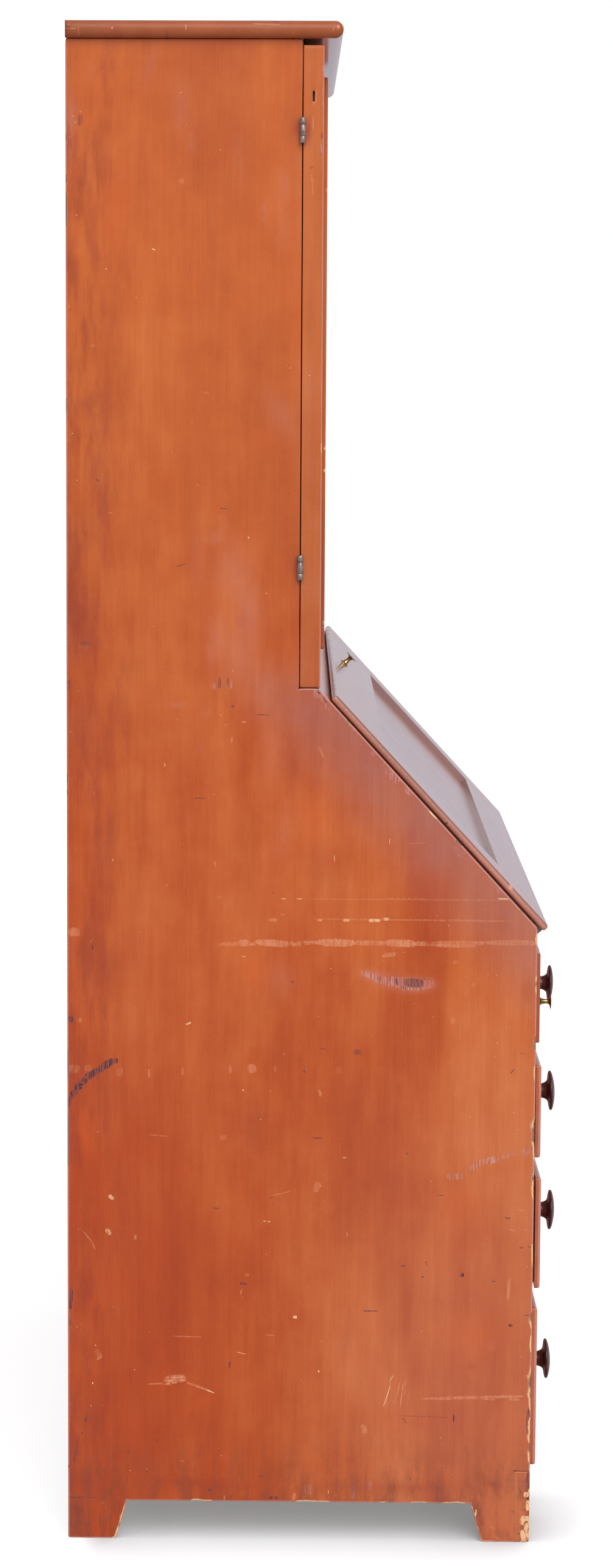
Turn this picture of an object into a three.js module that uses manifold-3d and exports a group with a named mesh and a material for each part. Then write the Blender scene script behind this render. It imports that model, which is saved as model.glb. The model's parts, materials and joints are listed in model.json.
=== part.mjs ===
// A painted pine slant-front desk: a case of four drawers, a sloping lid that folds down
// on two pull-out supports as a writing surface, and a bookcase with two doors above it.
// Millimetres, +Z up, front towards -Y. The origin is on the floor at the middle of the plan.
// Places from back to front are given as depths, counted forwards from the back of the case.
import * as THREE from "three";
import { mergeVertices } from "three/addons/utils/BufferGeometryUtils.js";
import Module from "manifold-3d";

// Joinery clearances
const FIT = 0.3; // between pieces that are fixed together
const RUNNING_GAP = 0.8; // beside a piece that slides
const OVERRUN = 5; // how far a cutting solid passes the face that it cuts
const SINK = 2; // how far one half of a piece reaches into the other where they are joined

// Case
const CASE_WIDTH = 1000;
const CASE_DEPTH = 616.5;
const SIDE_THICKNESS = 22;
const SIDE_TOP = 1978;
const LEDGE_STEP = 25.3; // of the ledge in front of the bookcase
const DADO_DEPTH = 8;
const BACK_THICKNESS = 14;
const BACK_REBATE_WIDTH = 12;
const BACK_BOTTOM = 60;

// Feet, cut in the sides and in the skirt board
const FOOT_HEIGHT = 52.5;
const FOOT_SLOPE = 15;
const FOOT_CORNER_RADIUS = 5;
const BACK_FOOT_LENGTH = 64;
const FRONT_FOOT_LENGTH = 64;
const SKIRT_HEIGHT = 98;
const SKIRT_THICKNESS = 20.7;
const SKIRT_FOOT_WIDTH = 96;

// Boards across the case
const BOTTOM_THICKNESS = 16;
const DIVIDER_BOARD_THICKNESS = 16;
const DIVIDER_RAIL_DEPTH = 60;
const PARTITION_THICKNESS = 18;
const WRITING_HEIGHT = 817.8;
const BED_THICKNESS = 22;
const LEDGE_RISE = 329.4; // from the writing surface to the top of the ledge
const LEDGE_THICKNESS = 20;
const SHELF_THICKNESS = 18;
const SHELF_SETBACK = 18; // behind the doors' seam
const SHELF_HEIGHT_SHARES = [0.34, 0.67]; // of the height inside the bookcase
const SHELF_NAMES = ["lower", "upper"];

// Top board with a half-round front and ends
const TOP_THICKNESS = 22;
const TOP_FRONT_OVERHANG = 51.6;
const TOP_END_OVERHANG = 14;
const TOP_ROUND_RADIUS = 10.5;

// Drawers, listed from the bottom up
const DRAWER_NAMES = ["4", "3", "2"];
const FACE_HEIGHT_SHARES = [0.353, 0.2464, 0.2043]; // of the four faces' heights together
const RESTS_OPEN = [0, 2.6, 1]; // how far each stands out when it is pushed in as it was found
const LOWEST_FACE = 104;
const FACE_SPACING = 27.5;
const FACE_PROUD = 7.7;
const FACE_LIP_THICKNESS = 7.4;
const FACE_EDGE_RADIUS = 3.4;
const FACE_END_INSET = 9; // from the outer face of the case side
const FACE_BLOCK_THICKNESS = 15;
const LIP_OVERLAP = 4; // over the rails above and below
const PARTITION_OVERLAP = 8; // of the top drawer, over the support partitions
const DRAWER_WALL = 12;
const DRAWER_BOTTOM_THICKNESS = 8;
const DRAWER_BACK_SPACE = 16;
const DRAWER_TOP_SPACE = 5;

// Turned wooden knobs
const KNOB_PROJECTION = 28;
const KNOB_RADIUS = 26.9;
const TOP_DRAWER_KNOB_PROJECTION = 24.6;
const TOP_DRAWER_KNOB_RADIUS = 24.3;
const KNOB_TENON_RADIUS = 7;
const KNOB_TENON_LENGTH = 14;
const KNOB_END_DISTANCE = 126; // from the outer face of the case side
// Neck, thin rim and low dome: shares of the head's radius and of the projection
const KNOB_PROFILE_SHARES = [
  [0.43, 0.06],
  [0.38, 0.2],
  [0.365, 0.34],
  [0.4, 0.467],
  [0.445, 0.556],
  [0.512, 0.626],
  [0.62, 0.676],
  [0.78, 0.7],
  [0.91, 0.73],
  [1, 0.775],
  [0.96, 0.83],
  [0.82, 0.888],
  [0.56, 0.953],
  [0.3, 0.988],
];
const KNOB_FOOT_SHARE = 0.45; // of the head's radius

// Lid supports (lopers) beside the top drawer
const LOPER_THICKNESS = 28;
const LOPER_PROUD = 6.2;
const LOPER_TOP_GAP = 0.5;
const LOPER_BACK_SPACE = 60;
const LOPER_CORNER_RADIUS = 2.5;

// Cast knobs on the lopers and on the lid
const SMALL_KNOB_LENGTH = 15.8;
const SMALL_KNOB_RADIUS = 10.1;
const SMALL_KNOB_SHANK_RADIUS = 2.4;
const SMALL_KNOB_SHANK_LENGTH = 12;
const LOPER_KNOB_DROP = 7; // below the middle of the loper's face
const LID_KNOB_FROM_TOP = 28.6;
const LID_KNOB_OFF_CENTRE = 90;
// Base, waist, flared head and slightly domed end: shares of the radius and of the length
const SMALL_KNOB_PROFILE_SHARES = [
  [0.64, 0.05],
  [0.47, 0.14],
  [0.38, 0.27],
  [0.31, 0.45],
  [0.3, 0.62],
  [0.36, 0.77],
  [0.5, 0.84],
  [0.72, 0.89],
  [1, 0.94],
  [0.97, 0.965],
  [0.6, 0.99],
];
const SMALL_KNOB_BASE_SHARE = 0.66; // of the head's radius

// Sloping lid, measured along the slope (s) and out of it (t) from its hinge pins
const LID_SLOPE = THREE.MathUtils.degToRad(47.3);
const LID_PIN_AHEAD = 0.2; // of the case front
const LID_TOP_GAP = 23.7; // below the top of the ledge, straight down
const LID_THICKNESS = 22;
const LID_LIP_THICKNESS = 10;
const LID_LIP_RADIUS = 4.5;
const LID_END_INSET = 10;
const LID_BODY_CLEARANCE = 1.5;
const LID_BODY_TOP_SETBACK = 8;
const LID_BOTTOM_GAP = 0.8;
const LID_SEAT_GAP = 1;
const LID_TOP_RAIL = 98;
const LID_BOTTOM_RAIL = 92;
const LID_STILE = 84;
const LID_RECESS = 9;
const LID_PANEL_THICKNESS = 9.4;

// Panels in grooved frames
const GROOVE_DEPTH = 8;

// Bookcase doors
const DOOR_THICKNESS = 26.4;
const DOOR_SEAM = 1.2;
const DOOR_FOOT_GAP = 1;
const DOOR_HEAD_GAP = 7.4;
const DOOR_MEETING_GAP = 1.6;
const DOOR_STILE = 76;
const DOOR_TOP_RAIL = 82;
const DOOR_BOTTOM_RAIL = 96;
const DOOR_RECESS = 9;
const DOOR_PANEL_THICKNESS = 9.4;
const STRIP_WIDTH = 30;
const STRIP_THICKNESS = 9;
const STRIP_EDGE_RADIUS = 2.5;
const STRIP_END_GAP = 3;
const PEG_SLOT_HEIGHT = 13;
const PEG_SLOT_WIDTH = 3.2;
const PEG_SLOT_DEPTH = 14;
const PEG_SLOT_FROM_TOP = 64.5;

// Door hinges: barrels stand outside the case sides, on the seam
const DOOR_PIN_OUTSIDE = 4.3;
const DOOR_HINGE_RADIUS = 4;
const DOOR_HINGE_LENGTH = 32;
const DOOR_HINGE_LEAF_THICKNESS = 1.6;
const DOOR_HINGE_LEAF_WIDTH = 18;
const UPPER_HINGE_FROM_TOP = 107.5; // of the door, to the middle of the hinge
const LOWER_HINGE_FROM_FOOT = 156.4;

// Lid hinges, let into the writing bed and the lid
const LID_HINGE_RADIUS = 3.4;
const LID_HINGE_LENGTH = 60;
const LID_HINGE_LEAF_THICKNESS = 2;
const LID_HINGE_LEAF_WIDTH = 26;
const LID_HINGE_END_DISTANCE = 150; // from the outer face of the case side, to its middle

// Shared by all hinges
const HINGE_PIN_RADIUS = 1.3;
const HINGE_PIN_CLEARANCE = 0.3;
const KNUCKLE_GAP = 0.4;
const MIDDLE_KNUCKLE_SHARE = 0.44; // of the hinge's length

// Pigeonholes and small drawers behind the lid
const GALLERY_SETBACK = 52.1; // behind the doors' seam
const GALLERY_SHELF_RISE = 92; // above the writing bed
const GALLERY_BOARD = 11;
const UPPER_CELLS = 5;
const LOWER_CELLS = 3;
const SMALL_DRAWER_WALL = 8;
const SMALL_DRAWER_FRONT = 12;
const SMALL_DRAWER_KNOB_RADIUS = 9;
const SMALL_DRAWER_KNOB_LENGTH = 14;
const SMALL_DRAWER_KNOB_SHARES = [
  [0.42, 0.4],
  [1, 0.7],
  [0.9, 0.92],
];
const SMALL_DRAWER_NECK_SHARE = 0.5; // of the knob's radius

// Roundness of curved faces
const ROUND_SIDES = 16;
const KNOB_SIDES = 20;
const CORNER_STEPS = 4;
const EDGE_STEPS = 3;

// Places worked out from the sizes above
const HALF_WIDTH = CASE_WIDTH / 2;
const INNER_HALF = HALF_WIDTH - SIDE_THICKNESS;
const HOUSED_HALF = INNER_HALF + DADO_DEPTH - FIT;
const FACE_FRONT = CASE_DEPTH + FACE_PROUD;
const FACE_BACK = FACE_FRONT - FACE_LIP_THICKNESS;
const BACK_Y = (FACE_FRONT + Math.max(...RESTS_OPEN) + KNOB_PROJECTION) / 2;
const BOARD_BACK = BACK_THICKNESS + FIT;
const SKIRT_BACK = CASE_DEPTH - SKIRT_THICKNESS;
const LEDGE_TOP = WRITING_HEIGHT + LEDGE_RISE;
const LEDGE_UNDERSIDE = LEDGE_TOP - LEDGE_THICKNESS;
const BED_UNDERSIDE = WRITING_HEIGHT - BED_THICKNESS;
const PIN_DEPTH = CASE_DEPTH + LID_PIN_AHEAD;
const LID_LIP_BACK = LID_THICKNESS - LID_LIP_THICKNESS;

// The lid's lip lies on this sloping line; the case sides and the ledge stop short of it
const SLANT = {
  sin: Math.sin(LID_SLOPE),
  cos: Math.cos(LID_SLOPE),
  reach: LID_LIP_BACK - LID_SEAT_GAP,
  heightAt: (depth) =>
    WRITING_HEIGHT + (SLANT.reach + (PIN_DEPTH - depth) * SLANT.sin) / SLANT.cos,
  depthAt: (z) => PIN_DEPTH - ((z - WRITING_HEIGHT) * SLANT.cos - SLANT.reach) / SLANT.sin,
};
const LID_LENGTH = (LEDGE_RISE - LID_TOP_GAP) / SLANT.sin;
const BOOKCASE_DEPTH = SLANT.depthAt(LEDGE_TOP) - LEDGE_STEP;
const KNOB_X = HALF_WIDTH - KNOB_END_DISTANCE;
const LOPER_OUTER = INNER_HALF - RUNNING_GAP;
const LOPER_INNER = LOPER_OUTER - LOPER_THICKNESS;
const PARTITION_OUTER = LOPER_INNER - RUNNING_GAP;
const PARTITION_INNER = PARTITION_OUTER - PARTITION_THICKNESS;
const DOOR_BACK = BOOKCASE_DEPTH + DOOR_SEAM;
const DOOR_FRONT = DOOR_BACK + DOOR_THICKNESS;
const DOOR_FOOT = LEDGE_TOP + DOOR_FOOT_GAP;
const DOOR_TOP = SIDE_TOP - DOOR_HEAD_GAP;
const GALLERY_FRONT = BOOKCASE_DEPTH - GALLERY_SETBACK;
const SHELF_FRONT = BOOKCASE_DEPTH - SHELF_SETBACK;
const SIDES = [
  { name: "left", sign: -1 },
  { name: "right", sign: 1 },
];

const wasm = await Module();
wasm.setup();

// Pine under an orange-red wash, darker turned wood, brass and iron
function material(color, roughness, metalness) {
  return new THREE.MeshStandardMaterial({ color, roughness, metalness });
}
const PAINTED = material(0xb5562f, 0.55, 0);
const LID_PAINT = material(0xa3837e, 0.45, 0);
const BARE_PINE = material(0xc79a62, 0.7, 0);
const TURNED_WOOD = material(0x54201a, 0.3, 0);
const BRASS = material(0xa8915a, 0.3, 1);
const IRON = material(0x7a6a66, 0.5, 0.9);

const desk = new THREE.Group();

function add(name, geometry, surface, parent = desk) {
  const mesh = new THREE.Mesh(geometry, surface);
  mesh.name = name;
  parent.add(mesh);
  return mesh;
}

// World Y of a depth counted forwards from the back of the case
function fromBack(depth) {
  return BACK_Y - depth;
}

function sorted(a, b) {
  return a < b ? [a, b] : [b, a];
}

function toSolid(geometry) {
  const bare = geometry.clone();
  bare.deleteAttribute("normal");
  bare.deleteAttribute("uv");
  const merged = mergeVertices(bare);
  return new wasm.Manifold(
    new wasm.Mesh({
      numProp: 3,
      vertProperties: merged.attributes.position.array,
      triVerts: new Uint32Array(merged.index.array),
    }),
  );
}

function toGeometry(solid) {
  const mesh = solid.getMesh();
  const geometry = new THREE.BufferGeometry();
  geometry.setAttribute("position", new THREE.BufferAttribute(mesh.vertProperties, 3));
  geometry.setIndex(new THREE.BufferAttribute(mesh.triVerts, 1));
  geometry.computeVertexNormals();
  return geometry;
}

function joined(...geometries) {
  return toGeometry(geometries.map(toSolid).reduce((sum, next) => sum.add(next)));
}

function cut(geometry, ...tools) {
  return toGeometry(tools.map(toSolid).reduce((left, tool) => left.subtract(tool), toSolid(geometry)));
}

// A straight board between two X, two depths and two heights
function board([xLow, xHigh], [depthLow, depthHigh], [zLow, zHigh]) {
  const geometry = new THREE.BoxGeometry(xHigh - xLow, depthHigh - depthLow, zHigh - zLow);
  return geometry.translate(
    (xLow + xHigh) / 2,
    fromBack((depthLow + depthHigh) / 2),
    (zLow + zHigh) / 2,
  );
}

// A block in a frame's own axes
function block([xLow, xHigh], [yLow, yHigh], [zLow, zHigh]) {
  const geometry = new THREE.BoxGeometry(xHigh - xLow, yHigh - yLow, zHigh - zLow);
  return geometry.translate((xLow + xHigh) / 2, (yLow + yHigh) / 2, (zLow + zHigh) / 2);
}

// An outline's points are [a, b] or [a, b, radius]; a radius eases that corner with a short curve
function easedShape(points) {
  const corners = points.map(([a, b]) => new THREE.Vector2(a, b));
  const eased = points.flatMap(([, , radius = 0], index) => {
    const corner = corners[index];
    if (!radius) return [corner];
    const before = corners[(index + corners.length - 1) % corners.length];
    const after = corners[(index + 1) % corners.length];
    const start = before.clone().sub(corner).setLength(radius).add(corner);
    const end = after.clone().sub(corner).setLength(radius).add(corner);
    return new THREE.QuadraticBezierCurve(start, corner, end).getPoints(CORNER_STEPS);
  });
  return new THREE.Shape(eased);
}

function extruded(points, length) {
  return new THREE.ExtrudeGeometry(easedShape(points), { depth: length, bevelEnabled: false });
}

// Turns what runs along Z to run along X, with X becoming Y and Y becoming Z
const Z_TO_X = new THREE.Matrix4().makeBasis(
  new THREE.Vector3(0, 1, 0),
  new THREE.Vector3(0, 0, 1),
  new THREE.Vector3(1, 0, 0),
);

// An outline in depth and height, run across the desk
function acrossDesk(points, [xLow, xHigh]) {
  const outline = points.map(([depth, z, radius]) => [fromBack(depth), z, radius]);
  return extruded(outline, xHigh - xLow).applyMatrix4(Z_TO_X).translate(xLow, 0, 0);
}

// An outline in X and height, run from back to front
function towardsFront(points, [depthLow, depthHigh]) {
  return extruded(points, depthHigh - depthLow)
    .rotateX(Math.PI / 2)
    .translate(0, fromBack(depthLow), 0);
}

// A plate in its own XY plane whose edges are rounded on both faces
function roundedPlate([xLow, xHigh], [yLow, yHigh], [zLow, zHigh], radius) {
  const shape = easedShape([
    [xLow + radius, yLow + radius],
    [xHigh - radius, yLow + radius],
    [xHigh - radius, yHigh - radius],
    [xLow + radius, yHigh - radius],
  ]);
  const geometry = new THREE.ExtrudeGeometry(shape, {
    depth: zHigh - zLow - 2 * radius,
    bevelThickness: radius,
    bevelSize: radius,
    bevelSegments: EDGE_STEPS,
  });
  return geometry.translate(0, 0, zLow + radius);
}

// The same plate standing up, facing the front
function roundedFront([xLow, xHigh], [depthLow, depthHigh], [zLow, zHigh], radius) {
  return roundedPlate([xLow, xHigh], [zLow, zHigh], [0, depthHigh - depthLow], radius)
    .rotateX(Math.PI / 2)
    .translate(0, fromBack(depthLow), 0);
}

// A turned solid around a line that points to the front; its profile holds [radius, reach]
function turnedForwards(profile, sides, x, depth, z) {
  const points = profile.map(([radius, reach]) => new THREE.Vector2(radius, reach));
  return new THREE.LatheGeometry(points, sides).rotateX(Math.PI).translate(x, fromBack(depth), z);
}

function rod(radius, reachLow, reachHigh) {
  return [
    [0, reachLow],
    [radius, reachLow],
    [radius, reachHigh],
    [0, reachHigh],
  ];
}

// Drawer openings, from the bottom up; the top row is closed by the writing bed
const LOPER_TOP = BED_UNDERSIDE - LOPER_TOP_GAP;
const TOP_ROW_FACE_HIGH = LOPER_TOP - RUNNING_GAP;
const FACES_TOGETHER =
  TOP_ROW_FACE_HIGH - LOWEST_FACE - FACE_HEIGHT_SHARES.length * FACE_SPACING;
const openings = [];
let faceLow = LOWEST_FACE;
for (const share of FACE_HEIGHT_SHARES) {
  const height = FACES_TOGETHER * share;
  openings.push({
    face: [faceLow, faceLow + height],
    clear: [faceLow + LIP_OVERLAP, faceLow + height - LIP_OVERLAP],
  });
  faceLow += height + FACE_SPACING;
}
const TOP_ROW_FACE_LOW = faceLow;
const TOP_ROW_FLOOR = faceLow + LIP_OVERLAP;
const BOTTOM_TOP = openings[0].clear[0];

// Horizontal boards that are let into the case sides: heights and depths
const SHELF_SPACE = SIDE_TOP - LEDGE_TOP;
const shelves = SHELF_HEIGHT_SHARES.map((share) => LEDGE_TOP + SHELF_SPACE * share);
const dividerTops = openings.map((_, index) => openings[index + 1]?.clear[0] ?? TOP_ROW_FLOOR);
const housings = [
  { z: [BOTTOM_TOP - BOTTOM_THICKNESS, BOTTOM_TOP], depth: [BOARD_BACK, CASE_DEPTH] },
  ...dividerTops.map((top) => ({
    z: [top - DIVIDER_BOARD_THICKNESS, top],
    depth: [BOARD_BACK, CASE_DEPTH],
  })),
  { z: [BED_UNDERSIDE, WRITING_HEIGHT], depth: [BOARD_BACK, CASE_DEPTH] },
  { z: [LEDGE_UNDERSIDE, LEDGE_TOP], depth: [BOARD_BACK, SLANT.depthAt(LEDGE_UNDERSIDE)] },
  ...shelves.map((z) => ({
    z: [z, z + SHELF_THICKNESS],
    depth: [BOARD_BACK, SHELF_FRONT],
  })),
];

const DOOR_HINGE_HEIGHTS = [
  { name: "lower", z: DOOR_FOOT + LOWER_HINGE_FROM_FOOT },
  { name: "upper", z: DOOR_TOP - UPPER_HINGE_FROM_TOP },
];

// The slot in a side's front edge, or in a door's back, for one hinge leaf
function doorHingeMortise(sign, z, [depthLow, depthHigh]) {
  return board(
    sorted(sign * (HALF_WIDTH + OVERRUN), sign * (HALF_WIDTH - DOOR_HINGE_LEAF_WIDTH - FIT)),
    [depthLow, depthHigh],
    [z - DOOR_HINGE_LENGTH / 2 - FIT, z + DOOR_HINGE_LENGTH / 2 + FIT],
  );
}

function buildSides() {
  const outline = [
    [0, 0, FOOT_CORNER_RADIUS],
    [BACK_FOOT_LENGTH, 0, FOOT_CORNER_RADIUS],
    [BACK_FOOT_LENGTH + FOOT_SLOPE, FOOT_HEIGHT],
    [CASE_DEPTH - FRONT_FOOT_LENGTH - FOOT_SLOPE, FOOT_HEIGHT],
    [CASE_DEPTH - FRONT_FOOT_LENGTH, 0, FOOT_CORNER_RADIUS],
    [SKIRT_BACK - FIT, 0],
    [SKIRT_BACK - FIT, SKIRT_HEIGHT + FIT],
    [CASE_DEPTH, SKIRT_HEIGHT + FIT],
    [CASE_DEPTH, SLANT.heightAt(CASE_DEPTH)],
    [SLANT.depthAt(LEDGE_TOP), LEDGE_TOP],
    [BOOKCASE_DEPTH, LEDGE_TOP],
    [BOOKCASE_DEPTH, SIDE_TOP],
    [0, SIDE_TOP],
  ];
  for (const { name, sign } of SIDES) {
    const slab = acrossDesk(outline, sorted(sign * HALF_WIDTH, sign * INNER_HALF));
    const rebate = board(
      sorted(sign * (INNER_HALF - OVERRUN), sign * (INNER_HALF + BACK_REBATE_WIDTH)),
      [-OVERRUN, BACK_THICKNESS + FIT],
      [BACK_BOTTOM - FIT, SIDE_TOP + OVERRUN],
    );
    const dadoes = housings.map(({ z: [low, high], depth: [back, front] }) =>
      board(
        sorted(sign * (INNER_HALF - OVERRUN), sign * (INNER_HALF + DADO_DEPTH)),
        [back - FIT, front + (front < BOOKCASE_DEPTH ? FIT : OVERRUN)],
        [low - FIT, high + FIT],
      ),
    );
    const mortises = DOOR_HINGE_HEIGHTS.map(({ z }) =>
      doorHingeMortise(sign, z, [
        BOOKCASE_DEPTH - DOOR_HINGE_LEAF_THICKNESS - FIT,
        BOOKCASE_DEPTH + OVERRUN,
      ]),
    );
    add(`side_${name}`, cut(slab, rebate, ...dadoes, ...mortises), PAINTED);
  }
}

function buildTopAndBack() {
  const half = HALF_WIDTH + TOP_END_OVERHANG;
  const low = SIDE_TOP + FIT;
  const plate = roundedPlate(
    [-half, half],
    [fromBack(BOOKCASE_DEPTH + TOP_FRONT_OVERHANG), fromBack(-2 * TOP_ROUND_RADIUS)],
    [low, low + TOP_THICKNESS],
    TOP_ROUND_RADIUS,
  );
  const trim = board(
    [-half - OVERRUN, half + OVERRUN],
    [-2 * TOP_ROUND_RADIUS - OVERRUN, 0],
    [low - OVERRUN, low + TOP_THICKNESS + OVERRUN],
  );
  add("top_board", cut(plate, trim), PAINTED);
  for (const { name, sign } of SIDES) {
    const x = sorted((sign * FIT) / 2, sign * (INNER_HALF + BACK_REBATE_WIDTH - FIT));
    add(`back_board_${name}`, board(x, [0, BACK_THICKNESS], [BACK_BOTTOM, SIDE_TOP]), BARE_PINE);
  }
}

function buildCaseBoards() {
  const housed = [-HOUSED_HALF, HOUSED_HALF];
  const between = [-INNER_HALF + FIT, INNER_HALF - FIT];
  const bottom = [
    [BOARD_BACK, BOTTOM_TOP - BOTTOM_THICKNESS],
    [SKIRT_BACK - FIT, BOTTOM_TOP - BOTTOM_THICKNESS],
    [SKIRT_BACK - FIT, SKIRT_HEIGHT + FIT],
    [CASE_DEPTH, SKIRT_HEIGHT + FIT],
    [CASE_DEPTH, BOTTOM_TOP],
    [BOARD_BACK, BOTTOM_TOP],
  ];
  add("bottom_board", acrossDesk(bottom, housed), BARE_PINE);

  dividerTops.forEach((top, index) => {
    const { clear } = openings[index];
    const deck = board(housed, [BOARD_BACK, CASE_DEPTH], [top - DIVIDER_BOARD_THICKNESS, top]);
    const rail = board(
      between,
      [CASE_DEPTH - DIVIDER_RAIL_DEPTH, CASE_DEPTH],
      [clear[1], top - SINK],
    );
    add(`drawer_divider_${openings.length - index}`, joined(deck, rail), PAINTED);
  });

  const partitionHeights = [TOP_ROW_FLOOR + FIT, BED_UNDERSIDE - FIT];
  for (const { name, sign } of SIDES) {
    const x = sorted(sign * PARTITION_INNER, sign * PARTITION_OUTER);
    add(`loper_partition_${name}`, board(x, [BOARD_BACK, CASE_DEPTH], partitionHeights), PAINTED);
  }

  const bed = board(housed, [BOARD_BACK, CASE_DEPTH], [BED_UNDERSIDE, WRITING_HEIGHT]);
  const hingeSeats = SIDES.flatMap(({ sign }) => lidHingeSeatsInBed(sign));
  add("writing_bed", cut(bed, ...hingeSeats), PAINTED);

  const ledge = [
    [BOARD_BACK, LEDGE_UNDERSIDE],
    [SLANT.depthAt(LEDGE_UNDERSIDE), LEDGE_UNDERSIDE],
    [SLANT.depthAt(LEDGE_TOP), LEDGE_TOP],
    [BOARD_BACK, LEDGE_TOP],
  ];
  add("desk_ledge", acrossDesk(ledge, housed), PAINTED);

  shelves.forEach((z, index) => {
    const shelf = board(housed, [BOARD_BACK, SHELF_FRONT], [z, z + SHELF_THICKNESS]);
    add(`bookshelf_${SHELF_NAMES[index]}`, shelf, BARE_PINE);
  });
}

function buildSkirt() {
  const right = [
    [HALF_WIDTH - SKIRT_FOOT_WIDTH - FOOT_SLOPE, FOOT_HEIGHT],
    [HALF_WIDTH - SKIRT_FOOT_WIDTH, 0, FOOT_CORNER_RADIUS],
    [HALF_WIDTH, 0, FOOT_CORNER_RADIUS],
    [HALF_WIDTH, SKIRT_HEIGHT],
  ];
  const left = right.map(([x, z, radius]) => [-x, z, radius]).reverse();
  add("front_skirt", towardsFront([...right, ...left], [SKIRT_BACK, CASE_DEPTH]), PAINTED);
}

// A knob's profile as [radius, reach]: a peg that goes into the wood, a foot on it and the head
function knobProfile({ radius, length, pegRadius, pegLength, footShare, shares }) {
  return [
    [0, -pegLength],
    [pegRadius, -pegLength],
    [pegRadius, FIT],
    [footShare * radius, FIT],
    ...shares.map(([radiusShare, reachShare]) => [radius * radiusShare, length * reachShare]),
    [0, length],
  ];
}

// A mushroom knob with a slender neck and a broad, low head
function woodenKnob(radius, length, x, z) {
  const profile = knobProfile({
    radius,
    length,
    pegRadius: KNOB_TENON_RADIUS,
    pegLength: KNOB_TENON_LENGTH,
    footShare: KNOB_FOOT_SHARE,
    shares: KNOB_PROFILE_SHARES,
  });
  return turnedForwards(profile, KNOB_SIDES, x, FACE_FRONT, z);
}

// A spool-shaped cast knob
function smallKnobProfile() {
  return knobProfile({
    radius: SMALL_KNOB_RADIUS,
    length: SMALL_KNOB_LENGTH,
    pegRadius: SMALL_KNOB_SHANK_RADIUS,
    pegLength: SMALL_KNOB_SHANK_LENGTH,
    footShare: SMALL_KNOB_BASE_SHARE,
    shares: SMALL_KNOB_PROFILE_SHARES,
  });
}

// One drawer: front, box and two knobs
function buildDrawer({ name, face, clear, restsOpen, faceHalf, openHalf, knobRadius, knobLength }) {
  const drawer = new THREE.Group();
  drawer.position.y = -restsOpen;
  desk.add(drawer);
  const knobZ = (face[0] + face[1]) / 2;
  const facePlate = roundedFront(
    [-faceHalf, faceHalf],
    [FACE_BACK - FACE_BLOCK_THICKNESS, FACE_FRONT],
    face,
    FACE_EDGE_RADIUS,
  );
  const behindLip = board(
    [-faceHalf - OVERRUN, faceHalf + OVERRUN],
    [FACE_BACK - FACE_BLOCK_THICKNESS - OVERRUN, FACE_BACK],
    [face[0] - OVERRUN, face[1] + OVERRUN],
  );
  const slideHalf = openHalf - RUNNING_GAP;
  const blockTop = Math.min(clear[1] - RUNNING_GAP, face[1] - FACE_EDGE_RADIUS);
  const inner = board(
    [-slideHalf, slideHalf],
    [FACE_BACK - FACE_BLOCK_THICKNESS, FACE_BACK + SINK],
    [clear[0] + FIT, blockTop],
  );
  const holes = [-KNOB_X, KNOB_X].map((x) =>
    turnedForwards(
      rod(KNOB_TENON_RADIUS + FIT, -FACE_LIP_THICKNESS - FACE_BLOCK_THICKNESS - OVERRUN, OVERRUN),
      ROUND_SIDES,
      x,
      FACE_FRONT,
      knobZ,
    ),
  );
  const front = cut(joined(cut(facePlate, behindLip), inner), ...holes);
  add(`drawer_${name}_front`, front, PAINTED, drawer);

  const boxFront = FACE_BACK - FACE_BLOCK_THICKNESS - FIT;
  const boxBack = BOARD_BACK + DRAWER_BACK_SPACE;
  const box = board(
    [-slideHalf, slideHalf],
    [boxBack, boxFront],
    [clear[0] + FIT, blockTop - DRAWER_TOP_SPACE],
  );
  const hollow = board(
    [-slideHalf + DRAWER_WALL, slideHalf - DRAWER_WALL],
    [boxBack + DRAWER_WALL, boxFront + OVERRUN],
    [clear[0] + FIT + DRAWER_BOTTOM_THICKNESS, face[1] + OVERRUN],
  );
  add(`drawer_${name}_box`, cut(box, hollow), BARE_PINE, drawer);
  for (const { name: end, sign } of SIDES) {
    const knob = woodenKnob(knobRadius, knobLength, sign * KNOB_X, knobZ);
    add(`drawer_${name}_knob_${end}`, knob, TURNED_WOOD, drawer);
  }
}

function buildDrawers() {
  DRAWER_NAMES.forEach((name, index) => {
    const { face, clear } = openings[index];
    buildDrawer({
      name,
      face,
      clear,
      restsOpen: RESTS_OPEN[index],
      faceHalf: HALF_WIDTH - FACE_END_INSET,
      openHalf: INNER_HALF,
      knobRadius: KNOB_RADIUS,
      knobLength: KNOB_PROJECTION,
    });
  });
  buildDrawer({
    name: "1",
    face: [TOP_ROW_FACE_LOW, TOP_ROW_FACE_HIGH],
    clear: [TOP_ROW_FLOOR, LOPER_TOP],
    restsOpen: 0,
    faceHalf: PARTITION_INNER + PARTITION_OVERLAP,
    openHalf: PARTITION_INNER,
    knobRadius: TOP_DRAWER_KNOB_RADIUS,
    knobLength: TOP_DRAWER_KNOB_PROJECTION,
  });
}

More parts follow.
